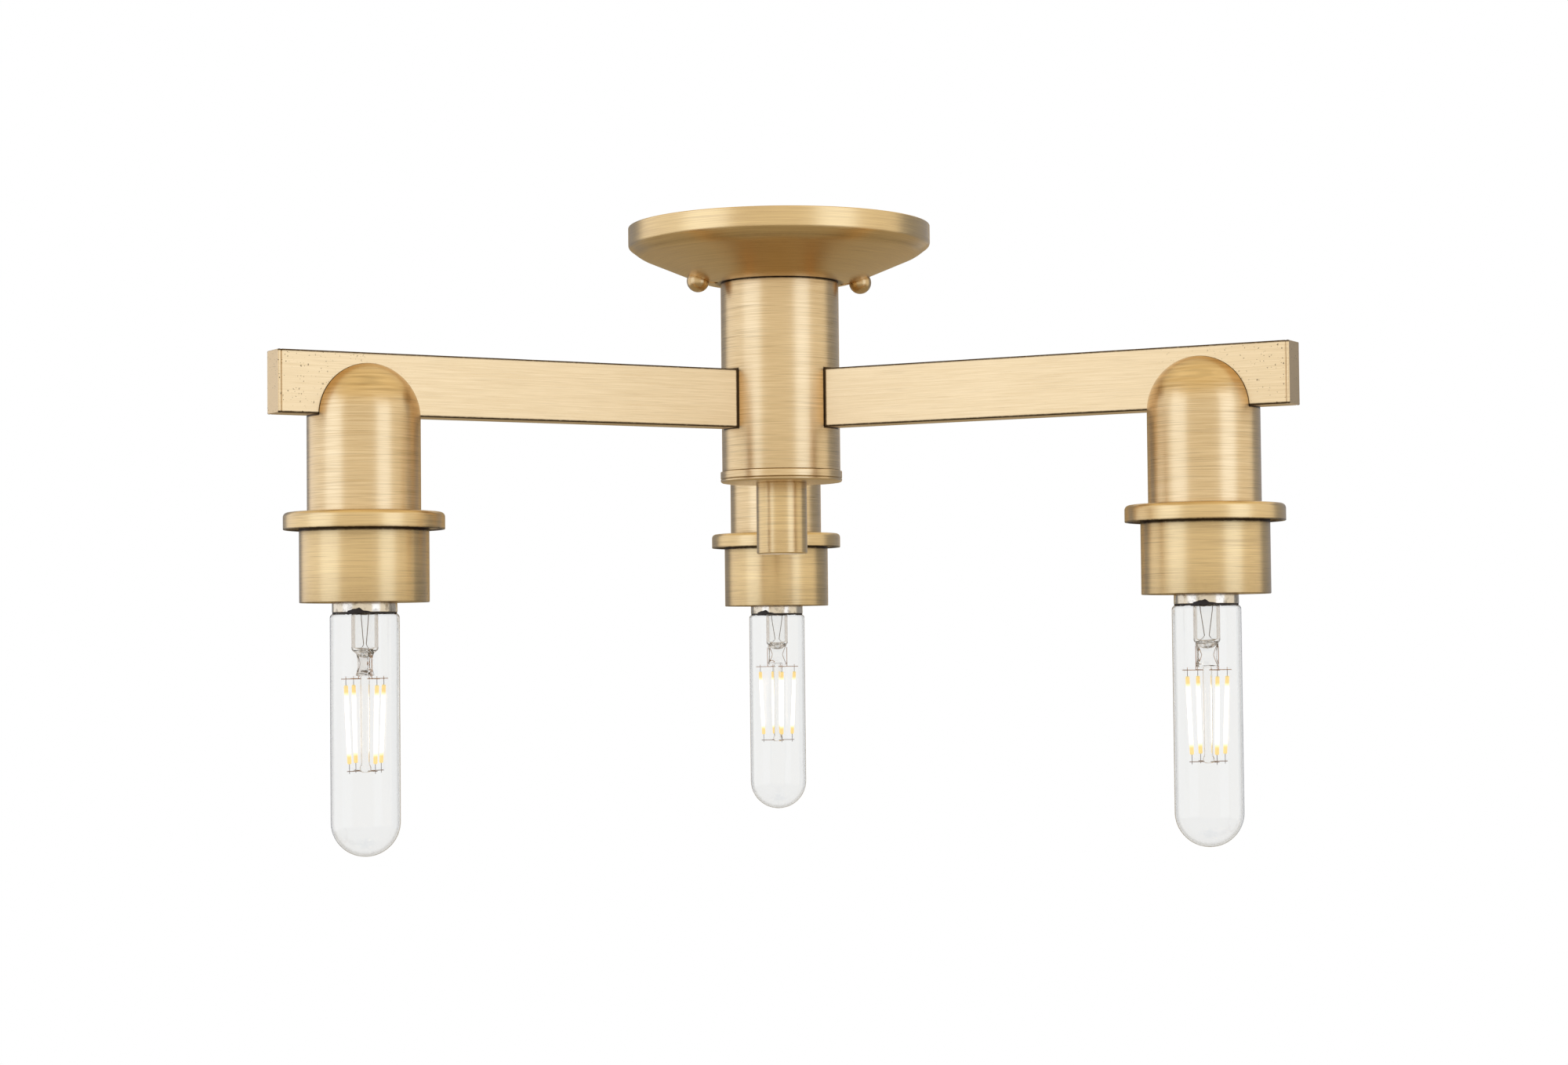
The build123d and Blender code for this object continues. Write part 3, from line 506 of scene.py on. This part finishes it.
def make_canopy():
    """Spun pan with a rolled rim and two stud slots."""
    floor_height = canopy_low.z
    inner_radius = canopy_radius - canopy_wall
    profile = rounded([
        (canopy_bore, floor_height, 0),
        (canopy_floor_radius, floor_height, canopy_floor_rounding),
        (canopy_shoulder_radius, -canopy_shoulder_height, canopy_shoulder_rounding),
        (canopy_radius, -canopy_rim_height, canopy_rim_rounding),
        (canopy_radius, 0.0, canopy_edge_roll),
        (inner_radius, 0.0, canopy_edge_roll),
        (inner_radius, -canopy_rim_height + canopy_wall * 0.6, canopy_rim_rounding - canopy_wall),
        (canopy_shoulder_radius, -canopy_shoulder_height + canopy_wall, canopy_shoulder_rounding),
        (canopy_floor_radius, floor_height + canopy_wall, canopy_floor_rounding),
        (canopy_bore, floor_height + canopy_wall, 0),
    ], closed=True, steps=12)
    pan = turned(profile, closed=True, steps=2 * round_steps)
    cutters = []
    cutter_depth = 0.04
    cutter_height = floor_height + 0.008
    bar_foot, bar_top = -0.040, -0.004
    for side in (stud_angle, stud_angle + 180):
        for reach in (slot_inner, stud_reach):
            bpy.ops.mesh.primitive_cylinder_add(
                vertices=32, radius=slot_half, depth=cutter_depth,
                location=outward(side, reach, cutter_height))
            cutters.append(bpy.context.object)
        bar = block((slot_inner, -slot_half, bar_foot), (stud_reach, slot_half, bar_top))
        bar.data.transform(Matrix.Rotation(math.radians(side), 4, "Z"))
        cutters.append(bar)
    return cut(pan, *cutters)


# Column, base cap and stub
column_low, column_high, column_size = piece_box("column_tube")
column_radius = column_size.x / 2


def make_column():
    """Tube with softened ends and a window for each arm."""
    inner = column_radius - column_wall
    tube = turned(rounded([
        (column_radius, column_low.z, seam_rounding),
        (column_radius, column_high.z, seam_rounding),
        (inner, column_high.z, 0),
        (inner, column_low.z, 0),
    ], closed=True), closed=True)
    windows = []
    for angle in arm_angles.values():
        past_wall = column_radius * 1.2
        window = block((arm_start, -arm_half, arm_bottom), (past_wall, arm_half, arm_top))
        window.data.transform(Matrix.Rotation(math.radians(angle), 4, "Z"))
        windows.append(window)
    return cut(tube, *windows)


def make_base_cap():
    """Shallow cap with a turned groove round its side."""
    low, high, size = piece_box("column_base_cap")
    radius = size.x / 2
    top = column_low.z
    groove_top = top - base_groove_drop
    groove_low = groove_top - base_groove_width
    lip = column_radius - base_lip_inset
    return turned(rounded([
        (base_bore, low.z, 0),
        (radius, low.z, base_rounding),
        (radius, groove_low, base_groove_depth / 2),
        (radius - base_groove_depth, (groove_low + groove_top) / 2, 0),
        (radius, groove_top, base_groove_depth / 2),
        (radius, top, seam_rounding),
        (lip, top, 0),
        (lip, high.z, 0),
        (lip - tube_wall, high.z, 0),
        (lip - tube_wall, low.z + base_floor, 0),
        (base_bore, low.z + base_floor, 0),
    ], closed=True, steps=5), closed=True)


def make_stub():
    """Turned finial stub with a small chamfer and a faint facing cut below."""
    low, high, size = piece_box("finial_stub")
    radius = size.x / 2
    cut_reach, cut_depth = 0.0012, 0.0004
    return turned(rounded([
        (stub_bore, high.z, 0),
        (radius, high.z, stub_chamfer / 2),
        (radius, low.z + stub_chamfer, stub_chamfer / 3),
        (radius - stub_chamfer, low.z, stub_chamfer / 3),
        (cut_reach, low.z, 0),
        (0.0, low.z + cut_depth, 0),
    ], steps=4))


def make_ball_nut(side):
    """Round cap nut with a flat top."""
    center = Vector(hinges[f"ball_nut_{side}_turn"]["pos_m"])
    low, high, size = piece_box(f"ball_nut_{side}")
    radius = size.x / 2
    height = low.z + radius
    flat = math.asin((high.z - height) / radius)
    count = 28
    angles = [flat - (flat + math.pi / 2) * step / count for step in range(count + 1)]
    points = [(radius * math.cos(angle), height + radius * math.sin(angle)) for angle in angles]
    points[-1] = (0.0, points[-1][1])
    points.insert(0, (ball_nut_bore, points[0][1]))
    nut = turned(points, steps=64)
    nut.data.transform(Matrix.Translation((center.x, center.y, 0)))
    return nut


# Arms and lamp holders, modelled with X along the arm
def make_arm():
    """Flat bar with softened edges."""
    return block((arm_start, -arm_half, arm_bottom), (arm_stop, arm_half, arm_top), arm_rounding)


def make_end_cap():
    """Plate that closes the arm's outer end."""
    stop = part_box("arm_end_caps")[1].y
    return block((arm_stop, -arm_half, arm_bottom), (stop, arm_half, arm_top), arm_rounding)


tube_low, tube_high, tube_size = piece_box("holder_tube_3")
tube_radius = tube_size.y / 2
ring_low, ring_high, ring_size = piece_box("holder_ring_3")
ring_radius = ring_size.y / 2
cup_low, cup_high, cup_size = piece_box("socket_cup_3")
cup_radius = cup_size.y / 2


def make_holder_tube():
    """Tube with a domed top, slotted over the arm. Its axis is Z."""
    steps = 24
    pole = 0.0002
    inner = tube_radius - tube_wall
    slot_overlap = 0.001
    dome = max(tube_high.z - tube_radius, arm_bottom - slot_overlap)
    foot = [(inner, tube_low.z), (tube_radius - seam_rounding, tube_low.z),
            (tube_radius, tube_low.z + seam_rounding)]
    top = [(pole, dome + tube_radius), (pole, dome + inner)]
    outer_dome = quarter_round(tube_radius, dome, steps)
    inner_dome = quarter_round(inner, dome, steps)
    shell = turned(foot + outer_dome + top + inner_dome[::-1], closed=True)
    slot_reach = 0.04
    slot_half_wide = arm_half + 0.0001
    slot = block((-slot_reach, -slot_half_wide, arm_bottom), (slot_reach, slot_half_wide, arm_top))
    return cut(shell, slot)


def make_ring():
    """Shallow ring with a soft upper edge and an open underside."""
    inner = ring_radius - tube_wall
    return turned(rounded([
        (holder_bore, ring_high.z, 0),
        (ring_radius, ring_high.z, ring_rounding),
        (ring_radius, ring_low.z, seam_rounding),
        (inner, ring_low.z, seam_rounding),
        (inner, ring_high.z - tube_wall, ring_rounding - tube_wall),
        (holder_bore, ring_high.z - tube_wall, 0),
    ], closed=True), closed=True)


def make_cup():
    """Socket cup with a softened lower rim."""
    inner = cup_radius - tube_wall
    return turned(rounded([
        (holder_bore, cup_high.z, 0),
        (cup_radius, cup_high.z, cup_rounding),
        (cup_radius, cup_low.z, seam_rounding),
        (inner, cup_low.z, seam_rounding),
        (inner, cup_high.z - tube_wall, cup_rounding - tube_wall),
        (holder_bore, cup_high.z - tube_wall, 0),
    ], closed=True), closed=True)


# Materials
def arm_edges(finish, x, y, z):
    """Painted shade along an arm's four rounded long edges and at its root by the column, and dark
    specks near its outer end.
    """
    across = abs(y).over(arm_half - 0.0011, 0.0006)
    upright = abs(z - arm_height).over(arm_half_tall - 0.0011, 0.0006)
    root = 1 - x.over(column_radius - 0.0002, 0.0007)
    specks = finish.noise(finish.joined(x, y, z), 900.0, 1.0).over(0.70, 0.03)
    return across * upright * 1.2 + root * 1.4 + specks * x.over(arm_stop - 0.075, 0.075) * 0.9


def tube_edges(finish, x, y, z):
    """Painted shade: a dark line where the tube's slot meets the arm, and at its foot on the ring."""
    slot_line = (1 - abs(y).over(arm_half + 0.0004, 0.0005)) * z.over(arm_bottom - 0.0010, 0.0005)
    return slot_line * 1.3 + z.near(tube_low.z, 0.0008)


def ring_edges(finish, x, y, z):
    """Painted shade: a dark line round the ring's lower edge, and a darker inside, where the hollow
    underside is in shade.
    """
    inside = 1 - from_axis(x, y).over(ring_radius - tube_wall - 0.0001, 0.0002)
    under_top = 1 - z.over(ring_high.z - 0.0005, 0.0002)
    return z.near(ring_low.z, 0.0009) * 1.2 + inside * under_top * 0.85


def cup_edges(finish, x, y, z):
    """Painted shade: a dark line where the cup meets the ring, and darker towards the ring, under it.
    Also darker towards the foot, with a dark line at its lower rim.
    """
    under_ring = z.over(ring_low.z - 0.014, 0.030) * 0.26
    foot = (1 - z.over(cup_low.z, 0.016)) * 0.18
    seam = z.over(ring_low.z - 0.0013, 0.0014) * 1.8
    return z.near(cup_low.z, 0.0005) * 0.6 + seam + under_ring + foot


def canopy_edges(finish, x, y, z):
    """Painted shade round the column's seat and just under the rim's crease."""
    reach = from_axis(x, y)
    seat = 1 - reach.over(column_radius + 0.0010, 0.0022)
    under_rim = 1 - z.over(-canopy_rim_height + 0.0002, 0.0006)
    crease = reach.near(canopy_radius - 0.0042, 0.0022) * under_rim
    return seat * 1.1 + crease * 0.22


def column_edges(finish, x, y, z):
    """Painted shade: dark lines at the column's two ends, where it meets the canopy and the base cap,
    and round the windows of the arms.
    """
    mask = z.near(column_high.z, 0.0011) * 1.3 + z.near(column_low.z, 0.0006)
    for angle in arm_angles.values():
        along, side = outward(angle, 1), outward(angle + 90, 1)
        ahead = (x * along.x + y * along.y).over(0.0, 0.001)
        across = abs(x * side.x + y * side.y) - arm_half
        upright = abs(z - arm_height) - arm_half_tall
        mask = mask + ahead * (1 - across.upper_of(upright).over(0.0003, 0.0006)) * 1.3
    return mask


def cap_edges(finish, x, y, z):
    """Painted shade: a dark line in the base cap's groove."""
    groove = column_low.z - base_groove_drop - base_groove_width / 2
    return z.near(groove, 0.0006) * 0.5


def make_brass_pieces():
    """All the brushed brass that shows, each piece with its own finish."""
    body = "fixture"
    slot = "brushed_brass"
    column_brass = brushed_brass("brass_column", dark_edges=column_edges)
    canopy_brass = brushed_brass("brass_canopy", dark_edges=canopy_edges, grain=0.4, light=brass_warm)
    fit_out(make_canopy(), "canopy_shell", body, slot, canopy_brass, "canopy")
    fit_out(make_column(), "column", body, slot, column_brass, "column_tube")
    cap_brass = brushed_brass("brass_cap", dark_edges=cap_edges)
    fit_out(make_base_cap(), "base_cap", "base_cap", slot, cap_brass, "column_base_cap")
    stub_brass = brushed_brass("brass_stub", light=brass_warm)
    fit_out(make_stub(), "stub", "finial", slot, stub_brass, "finial_stub")
    for side in ("left", "right"):
        center = hinges[f"ball_nut_{side}_turn"]["pos_m"]
        nut = f"ball_nut_{side}"
        nut_brass = brushed_brass(f"brass_ball_{side}", center, tone=-0.30, roughness=0.26,
                                  light=brass_warm)
        fit_out(make_ball_nut(side), f"cap_nut_{side}", nut, slot, nut_brass, nut)
    arm, end_cap = make_arm(), make_end_cap()
    lamp_pieces = {
        "holder_tube": (make_holder_tube(), tube_edges),
        "holder_ring": (make_ring(), ring_edges),
        "socket_cup": (make_cup(), cup_edges),
    }
    end_caps = []
    for number, angle in arm_angles.items():
        rotation = Matrix.Rotation(math.radians(angle), 4, "Z")
        center = outward(angle, lamp_reach)
        flat_brass = brushed_brass(f"brass_arm_{number}", turn=angle, turned=False,
                                   dark_edges=arm_edges, tone=-0.04, grain=0.35)
        fit_out(placed_copy(arm, rotation), f"arm_bar_{number}", body, slot, flat_brass, f"arm_{number}")
        cap_copy = placed_copy(end_cap, rotation)
        end_caps.append(fit_out(cap_copy, f"arm_end_{number}", body, slot, flat_brass))
        for name, (made, edges) in lamp_pieces.items():
            light = brass_light if name == "holder_tube" else brass_warm
            material = brushed_brass(f"brass_{name}_{number}", center, angle,
                                     dark_edges=edges, light=light)
            copy = placed_copy(made, Matrix.Translation(center) @ rotation)
            fit_out(copy, f"{name}_shell_{number}", body, slot, material, f"{name}_{number}")
    for cap_copy in end_caps:
        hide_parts("arm_end_caps")
    for made in (arm, end_cap, *(made for made, edges in lamp_pieces.values())):
        bpy.data.objects.remove(made)


# Bulbs, modelled round the Z axis
glass_low, glass_high, glass_size = piece_box("bulb_3_glass")
cap_low, cap_high, cap_size = piece_box("bulb_3_cap")
joint_height = cap_low.z
glass_radius = glass_size.x / 2
collar_radius = cap_size.x / 2
neck_radius = 0.0142
filament_low, filament_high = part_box("bulb_3_filaments")
filament_radius = 0.00085
upper_wire = joint_height - 0.0307
lower_wire = joint_height - 0.0731
press_top = joint_height - 0.0180
press_low = press_top - 0.0114
press_half = 0.0055
upper_reach, lower_reach = 0.0102, 0.0085


def make_glass():
    """Tubular glass with a round end, a soft shoulder and a thin wall."""
    inner = glass_radius - glass_wall
    tip = glass_low.z + glass_radius
    inner_neck = neck_radius - glass_wall
    shoulder = joint_height - 0.0018
    neck_rounding, shoulder_rounding, inner_rounding = 0.0006, 0.0022, 0.0016
    steps = 20
    pole = 0.00005
    outer_end = quarter_round(glass_radius, tip, steps, side=-1, first=1)
    inner_end = quarter_round(inner, tip, steps, side=-1, first=1)
    outer = rounded([
        (neck_radius, glass_high.z, 0), (neck_radius, joint_height, neck_rounding),
        (glass_radius, shoulder, shoulder_rounding), (glass_radius, tip, 0)])
    inside = rounded([
        (inner, tip, 0), (inner, shoulder, inner_rounding),
        (inner_neck, joint_height, neck_rounding), (inner_neck, glass_high.z, 0)])
    bottom = [(pole, glass_low.z), (pole, glass_low.z + glass_wall)]
    return turned(outer + outer_end + bottom + inner_end[::-1] + inside, closed=True, steps=192)


def make_collar():
    """Bright screw cap: a rolled collar, a flare and a rolled thread above it."""
    sheet = 0.00045
    skirt = 0.005
    corners = [(collar_radius - sheet, cap_low.z, 0), (collar_radius, cap_low.z, 0.0002),
               (collar_radius, cap_low.z + skirt, 0.0012)]
    pitch = 0.003629
    ribs = 4
    root, crest, top = 0.0124, 0.01295, 0.0092
    thread_low = cap_low.z + 0.0084
    thread_high = thread_low + ribs * pitch
    for rib in range(ribs):
        low = thread_low + rib * pitch
        corners.append((root, low, 0.0005))
        corners.append((crest, low + pitch / 2, 0.0006))
    corners += [(root, thread_high, 0.0004), (top, cap_high.z, 0.0002),
                (top - 0.0004, cap_high.z, 0), (root - sheet, thread_high - sheet, 0),
                (root - sheet, thread_low, 0), (collar_radius - sheet, cap_low.z + 0.0045, 0)]
    return turned(rounded(corners, closed=True, steps=4), closed=True, steps=96)


def make_cement():
    """Dark cement line that squeezes out between the collar and the glass."""
    inner = neck_radius + 0.00003
    blob_turn = 4.05
    ring = turned(rounded([
        (inner, joint_height + 0.0001, 0),
        (neck_radius + 0.00062, joint_height + 0.0001, 0.0001),
        (neck_radius + 0.00068, joint_height - 0.00035, 0.0002),
        (inner, joint_height - 0.0005, 0),
    ], closed=True, steps=3), closed=True)
    for vertex in ring.data.vertices:
        turn = math.atan2(vertex.co.y, vertex.co.x)
        ripple = math.sin(turn * 7) + 0.7 * math.sin(turn * 17 + 1.3) + 0.5 * math.sin(turn * 31 + 0.4)
        blob = max(0.0, math.cos(turn - blob_turn)) ** 24
        if vertex.co.z < joint_height:
            vertex.co.z -= 0.00048 * (1 + ripple * 0.55)
        else:
            vertex.co.z += 0.0015 * blob * (1 + 0.3 * ripple)
            squeeze = 1 + blob * 0.055
            vertex.co.x *= squeeze
            vertex.co.y *= squeeze
    return ring


def make_press():
    """Flat pinched glass with a swollen rim above and below."""
    half_deep = 0.0022
    rim_share = 0.22
    bpy.ops.mesh.primitive_cube_add(size=2, location=(0, 0, (press_top + press_low) / 2))
    press = bpy.context.object
    press.scale = (press_half, half_deep, (press_top - press_low) / 2)
    bpy.ops.object.transform_apply(location=True, rotation=True, scale=True)
    start_editing()
    bpy.ops.mesh.subdivide(number_cuts=5)
    stop_editing()
    for vertex in press.data.vertices:
        share = (vertex.co.z - press_low) / (press_top - press_low)
        rim = max(0.0, 1 - share / rim_share) + max(0.0, (share - (1 - rim_share)) / rim_share)
        vertex.co.x *= 0.86 + 0.14 * rim
        vertex.co.y *= 0.62 + 0.75 * rim * (1 - (vertex.co.x / press_half) ** 2 * 0.5)
    modifier = press.modifiers.new("soft", "SUBSURF")
    modifier.levels = modifier.render_levels = 2
    bpy.ops.object.modifier_apply(modifier=modifier.name)
    bpy.ops.object.shade_smooth()
    return press


def make_stem():
    """Flare tube that closes into the press, and the long rod with its melted knob."""
    bore, neck, brim, pole = 0.0053, 0.0062, 0.0131, 0.0006
    flare = turned(rounded([
        (bore, glass_high.z, 0),
        (brim, glass_high.z, 0.0004),
        (brim, glass_high.z - 0.0012, 0.0004),
        (neck, glass_high.z - 0.0042, 0.002),
        (neck, press_top + 0.0005, 0.0022),
        (0.0026, press_top - 0.0024, 0.0012),
        (pole, press_top - 0.0026, 0),
        (pole, press_top - 0.0014, 0),
        (0.0018, press_top - 0.0012, 0.0008),
        (bore, press_top + 0.0012, 0.0016),
    ], closed=True), closed=True, steps=64)
    post = turned(rounded([
        (0.0002, press_low + 0.0002, 0), (0.0019, press_low + 0.0002, 0.0006),
        (0.0022, press_low - 0.0008, 0.0006), (0.0020, lower_wire + 0.0030, 0.0005),
        (0.0027, lower_wire + 0.0014, 0.0008), (0.0026, lower_wire - 0.0002, 0.0008),
        (0.0016, lower_wire - 0.0008, 0.0004), (0.0, lower_wire - 0.0008, 0),
    ]), steps=48)
    return join([flare, make_press(), post])


def make_filaments():
    """Four slender filament strips that lean inwards at the foot."""
    strips = []
    for step in range(4):
        turn = 90 * step
        top = outward(turn, upper_reach, filament_high.z)
        foot = outward(turn, lower_reach, filament_low.z)
        strips.append(rod(top, foot, filament_radius, 20))
    return join(strips)


def make_wires():
    """Wire stars above and below the filaments, their hooks, and the wires that lead in."""
    thick, thin = 0.00019, 0.00014
    sides = 8
    hub, overhang = 0.0020, 0.0012
    stars = ((upper_wire, 0.0126, upper_reach, filament_high.z),
             (lower_wire, 0.0098, lower_reach, filament_low.z))
    wires = []
    for step in range(4):
        turn = 90 * step
        for height, reach, hook, hook_end in stars:
            wires.append(rod(outward(turn, hub, height), outward(turn, reach, height), thick, sides))
            side = outward(turn + 90, overhang)
            cross = outward(turn, hook, height)
            wires.append(rod(cross - side, cross + side, thin, sides))
            past = Vector((0, 0, math.copysign(overhang, height - hook_end)))
            wires.append(rod(cross + past, outward(turn, hook, hook_end), thin, sides))
    for side in (-1, 1):
        lead = [(side * 0.0042, 0, glass_high.z), (side * 0.0012, 0, press_top + 0.0032),
                (side * 0.0046, 0, press_top - 0.0010),
                (side * 0.0030, 0, (press_top + press_low) / 2),
                (side * 0.0050, 0, press_low - 0.0004)]
        for start, end, radius in zip(lead, lead[1:], (thick, thin, thin, thin)):
            wires.append(rod(start, end, radius, sides))
        beside = side * (press_half + 0.0003)
        wires.append(rod((beside, 0, press_top - 0.0016), (beside, 0, upper_wire), thick, sides))
    return join(wires)


def wire_finish():
    """Drawn wire, dark, and copper coloured in the press and at the lower star."""
    finish = Finish("drawn_wire")
    place = finish.position()
    z = finish.parts(place)[2]
    held = z.over(press_low - 0.0022, 0.001) * (1 - z.over(press_top + 0.0005, 0.001))
    foot = z.near(lower_wire, 0.0006) * 0.4
    shade = finish.mixed((held + foot).clipped(), (0.15, 0.115, 0.10), (0.50, 0.24, 0.10))
    fine = finish.noise(place, 1500.0, 2.0)
    return finish.surface(
        base_color=shade, metallic=1.0, roughness=0.38 + (fine - 0.5) * 0.15,
        normal=finish.bump(fine, 0.05, 0.0002),
    )


def filament_finish():
    """Filaments: white with amber ends, lit by emission: painted light that stands in for the light the
    glass walls keep from them.
    """
    finish = Finish("filament_glow")
    z = finish.parts(finish.position())[2]
    end_length, fade = 0.0062, 0.0030
    top_end = z.over(filament_high.z - end_length, fade)
    foot_end = (filament_low.z + end_length - z).over(0, fade)
    ends = (top_end + foot_end).clipped()
    color = finish.mixed(ends, (1.0, 0.97, 0.90), (0.93, 0.66, 0.27))
    painted_glow = finish.mixed(ends, (1.0, 0.96, 0.88), (0.42, 0.37, 0.15))
    return finish.surface(base_color=color, roughness=0.5, emission_color=painted_glow, emission_strength=1.0)


def make_bulbs():
    """One bulb's pieces, copied to each lamp holder."""
    bulb_glass = clear_glass("bulb_glass", (0.932, 0.932, 0.925), (0.44, 0.42, 0.39))
    # The collar's warm colour partly offsets the blue of the softboxes
    collar_metal = plain_metal("bulb_collar", (0.82, 0.70, 0.52), 0.18, tarnish=0.42)
    cement = molded("bulb_cement", (0.035, 0.022, 0.014), 0.6)
    stem_glass = clear_glass("stem_glass_clear", (0.985, 0.98, 0.97), (0.36, 0.26, 0.17), 0.36, 0.02)
    parts = {
        "glass": (make_glass(), "clear_glass", bulb_glass),
        "cap": (make_collar(), "lamp_cap", collar_metal),
        "cement": (make_cement(), "black_insulator", cement),
        "stem": (make_stem(), "stem_glass", stem_glass),
        "filaments": (make_filaments(), "filament", filament_finish()),
        "wires": (make_wires(), "support_wire", wire_finish()),
    }
    for number, angle in arm_angles.items():
        for name, (made, slot, material) in parts.items():
            turn = cement_turns[number] if name == "cement" else bulb_turns[number]
            rotation = Matrix.Rotation(math.radians(turn), 4, "Z")
            move = Matrix.Translation(outward(angle, lamp_reach)) @ rotation
            nodes = [] if name == "cement" else [f"bulb_{number}_{name}"]
            fit_out(placed_copy(made, move), f"lamp_{number}_{name}", f"bulb_{number}",
                    slot, material, *nodes)
    for made, slot, material in parts.values():
        bpy.data.objects.remove(made)


def paint_hidden_pieces():
    """Finishes of the pieces that keep their CAD shape."""
    steel = plain_metal("zinc_plate", (0.60, 0.61, 0.62), 0.38)
    yellow = plain_metal("turned_brass", (0.75, 0.58, 0.28), 0.28)
    paint(steel, "mounting_plate", "canopy_studs", "stud_lock_nuts", "finial_rod", "holder_anchors")
    paint(yellow, "canopy_nipple", "canopy_nut", "canopy_lock_washer", "holder_nipples", "holder_nuts",
          "screw_shells", "center_contacts", "column_top_disc", "column_bridge")
    paint(molded("green_screw", (0.05, 0.24, 0.10), 0.4), "ground_screw")
    glaze = molded("white_glaze", (0.88, 0.86, 0.80), 0.18, 0.6)
    paint(glaze, *[f"lampholder_{number}" for number in arm_angles])
    black_glass = molded("black_glass", (0.012, 0.012, 0.014), 0.15, 0.5)
    paint(black_glass, *[f"bulb_{number}_tip" for number in arm_angles])
    paint(molded("black_sleeve", (0.02, 0.02, 0.02), 0.4), "black_leads")
    paint(molded("white_sleeve", (0.82, 0.82, 0.80), 0.4), "white_leads")
    paint(molded("green_sleeve", (0.05, 0.26, 0.10), 0.4), "ground_lead")
    paint(molded("orange_shell", (0.80, 0.28, 0.05), 0.35), "wire_connectors")


make_brass_pieces()
make_bulbs()
paint_hidden_pieces()


# Camera and studio
softbox_color = (0.68, 1.0, 1.75)


def place_camera():
    """Camera at the photograph's angle, turned back by the light's own small turn in the photograph."""
    light_turn = math.radians(1.353)
    yaw, pitch, roll = math.radians(-0.425), math.radians(2.046), math.radians(-0.591)
    place = Vector((0.011739, -1.446786, -0.205608))
    ahead = Vector((math.sin(yaw) * math.cos(pitch), math.cos(yaw) * math.cos(pitch), math.sin(pitch)))
    right = Vector((math.cos(yaw), -math.sin(yaw), 0))
    above = right.cross(ahead)
    side = right * math.cos(roll) + above * math.sin(roll)
    top = above * math.cos(roll) - right * math.sin(roll)
    axes = Matrix((side, top, -ahead)).transposed().to_4x4()
    axes.translation = place
    bpy.ops.object.camera_add()
    camera = bpy.context.object
    camera.name = "photo_camera"
    camera.matrix_world = Matrix.Rotation(-light_turn, 4, "Z") @ axes
    camera.data.sensor_width = 36
    camera.data.lens = 66.09
    camera.data.clip_end = 60
    bpy.context.scene.camera = camera


def turned_to(place, aim):
    """Rotation of a lamp or card at that place that faces the aim."""
    return (Vector(aim) - Vector(place)).to_track_quat("-Z", "Y").to_euler()


def add_softbox(name, place, aim, width, height, power):
    """A large lamp that glass doesn't show."""
    bpy.ops.object.light_add(type="AREA", location=place, rotation=turned_to(place, aim))
    lamp = bpy.context.object
    lamp.name = name
    lamp.data.shape = "RECTANGLE"
    lamp.data.size = width
    lamp.data.size_y = height
    lamp.data.energy = power
    lamp.data.color = softbox_color
    lamp.visible_transmission = False


def add_card(name, place, aim, width, height, level, color):
    """A plain glowing card that only reflections show."""
    bpy.ops.mesh.primitive_plane_add(size=1, location=place, rotation=turned_to(place, aim))
    card = bpy.context.object
    card.name = name
    card.scale = (width, height, 1)
    bpy.ops.object.transform_apply(location=True, rotation=True, scale=True)
    finish = Finish(name)
    card.data.materials.append(finish.output(
        finish.node("Emission", inputs={"Color": (*color, 1), "Strength": level})))
    card.visible_camera = False
    card.visible_transmission = False
    card.visible_diffuse = False
    card.visible_shadow = False


def seen_background(finish):
    """1 for rays that look at the background, straight, by gloss or through glass."""
    camera, gloss, through = (finish.node("LightPath", output=name) for name in
                              ("Is Camera Ray", "Is Glossy Ray", "Is Transmission Ray"))
    return camera.upper_of(gloss).upper_of(through)


def round_the_light(angle, reach, height=0.0):
    """Point round the light, at that angle to the right of the viewer."""
    return outward(angle - 90, reach, height)


def make_studio():
    """White surroundings, two tall softboxes, a few cards and a pale floor."""
    middle = (0, 0, -0.14)
    lamp_distance, lamp_lift, lamp_tall = 2.2, 0.3, 2.9
    card_distance, card_lift, card_tall = 2.3, -0.1, 2.4
    add_softbox("softbox_left", round_the_light(-57, lamp_distance, lamp_lift), middle,
                1.45, lamp_tall, 8.4)
    add_softbox("softbox_right", round_the_light(43, lamp_distance, lamp_lift), middle,
                1.2, lamp_tall, 7.4)
    cool, warm, amber, sand = (0.95, 1.0, 1.12), (1.0, 0.88, 0.62), (1.0, 0.80, 0.48), (1.0, 0.88, 0.66)
    # Angle, width, level and colour
    cards = {
        "card_left": (-100, 2.1, 1.15, cool),
        "card_left_back": (-147, 1.45, 0.30, cool),
        "card_left_behind": (-171, 0.80, 0.38, amber),
        "card_right": (130, 2.4, 0.36, cool),
        "card_right_behind": (170, 0.85, 0.42, amber),
    }
    for name, (angle, width, level, color) in cards.items():
        place = round_the_light(angle, card_distance, card_lift)
        add_card(name, place, middle, width, card_tall, level, color)
    add_card("card_below", (0, 0.1, -0.92), (0, 0.1, 0), 5.0, 5.0, 0.42, sand)
    add_card("card_above", (0, 0, 1.1), (0, 0, 0), 3.2, 3.2, 0.95, warm)
    world = bpy.data.worlds.new("studio")
    bpy.context.scene.world = world
    finish = Finish("studio", world)
    strength = 0.75 + seen_background(finish) * 0.25
    shader = finish.node("Background", inputs={"Color": (1, 1, 1, 1), "Strength": strength})
    finish.node("OutputWorld", inputs={"Surface": shader})
    bpy.ops.mesh.primitive_plane_add(size=20, location=(0, 0, -2.4))
    floor = bpy.context.object
    floor.name = "floor"
    finish = Finish("pale_floor")
    matte = finish.node("BsdfDiffuse", inputs={"Color": (0.62, 0.60, 0.57, 1)})
    white = finish.node("Emission", inputs={"Color": (1, 1, 1, 1), "Strength": 1.0})
    shader = finish.node("MixShader", inputs={0: seen_background(finish), 1: matte, 2: white})
    floor.data.materials.append(finish.output(shader))


place_camera()
make_studio()
bpy.context.scene.view_settings.view_transform = "Standard"
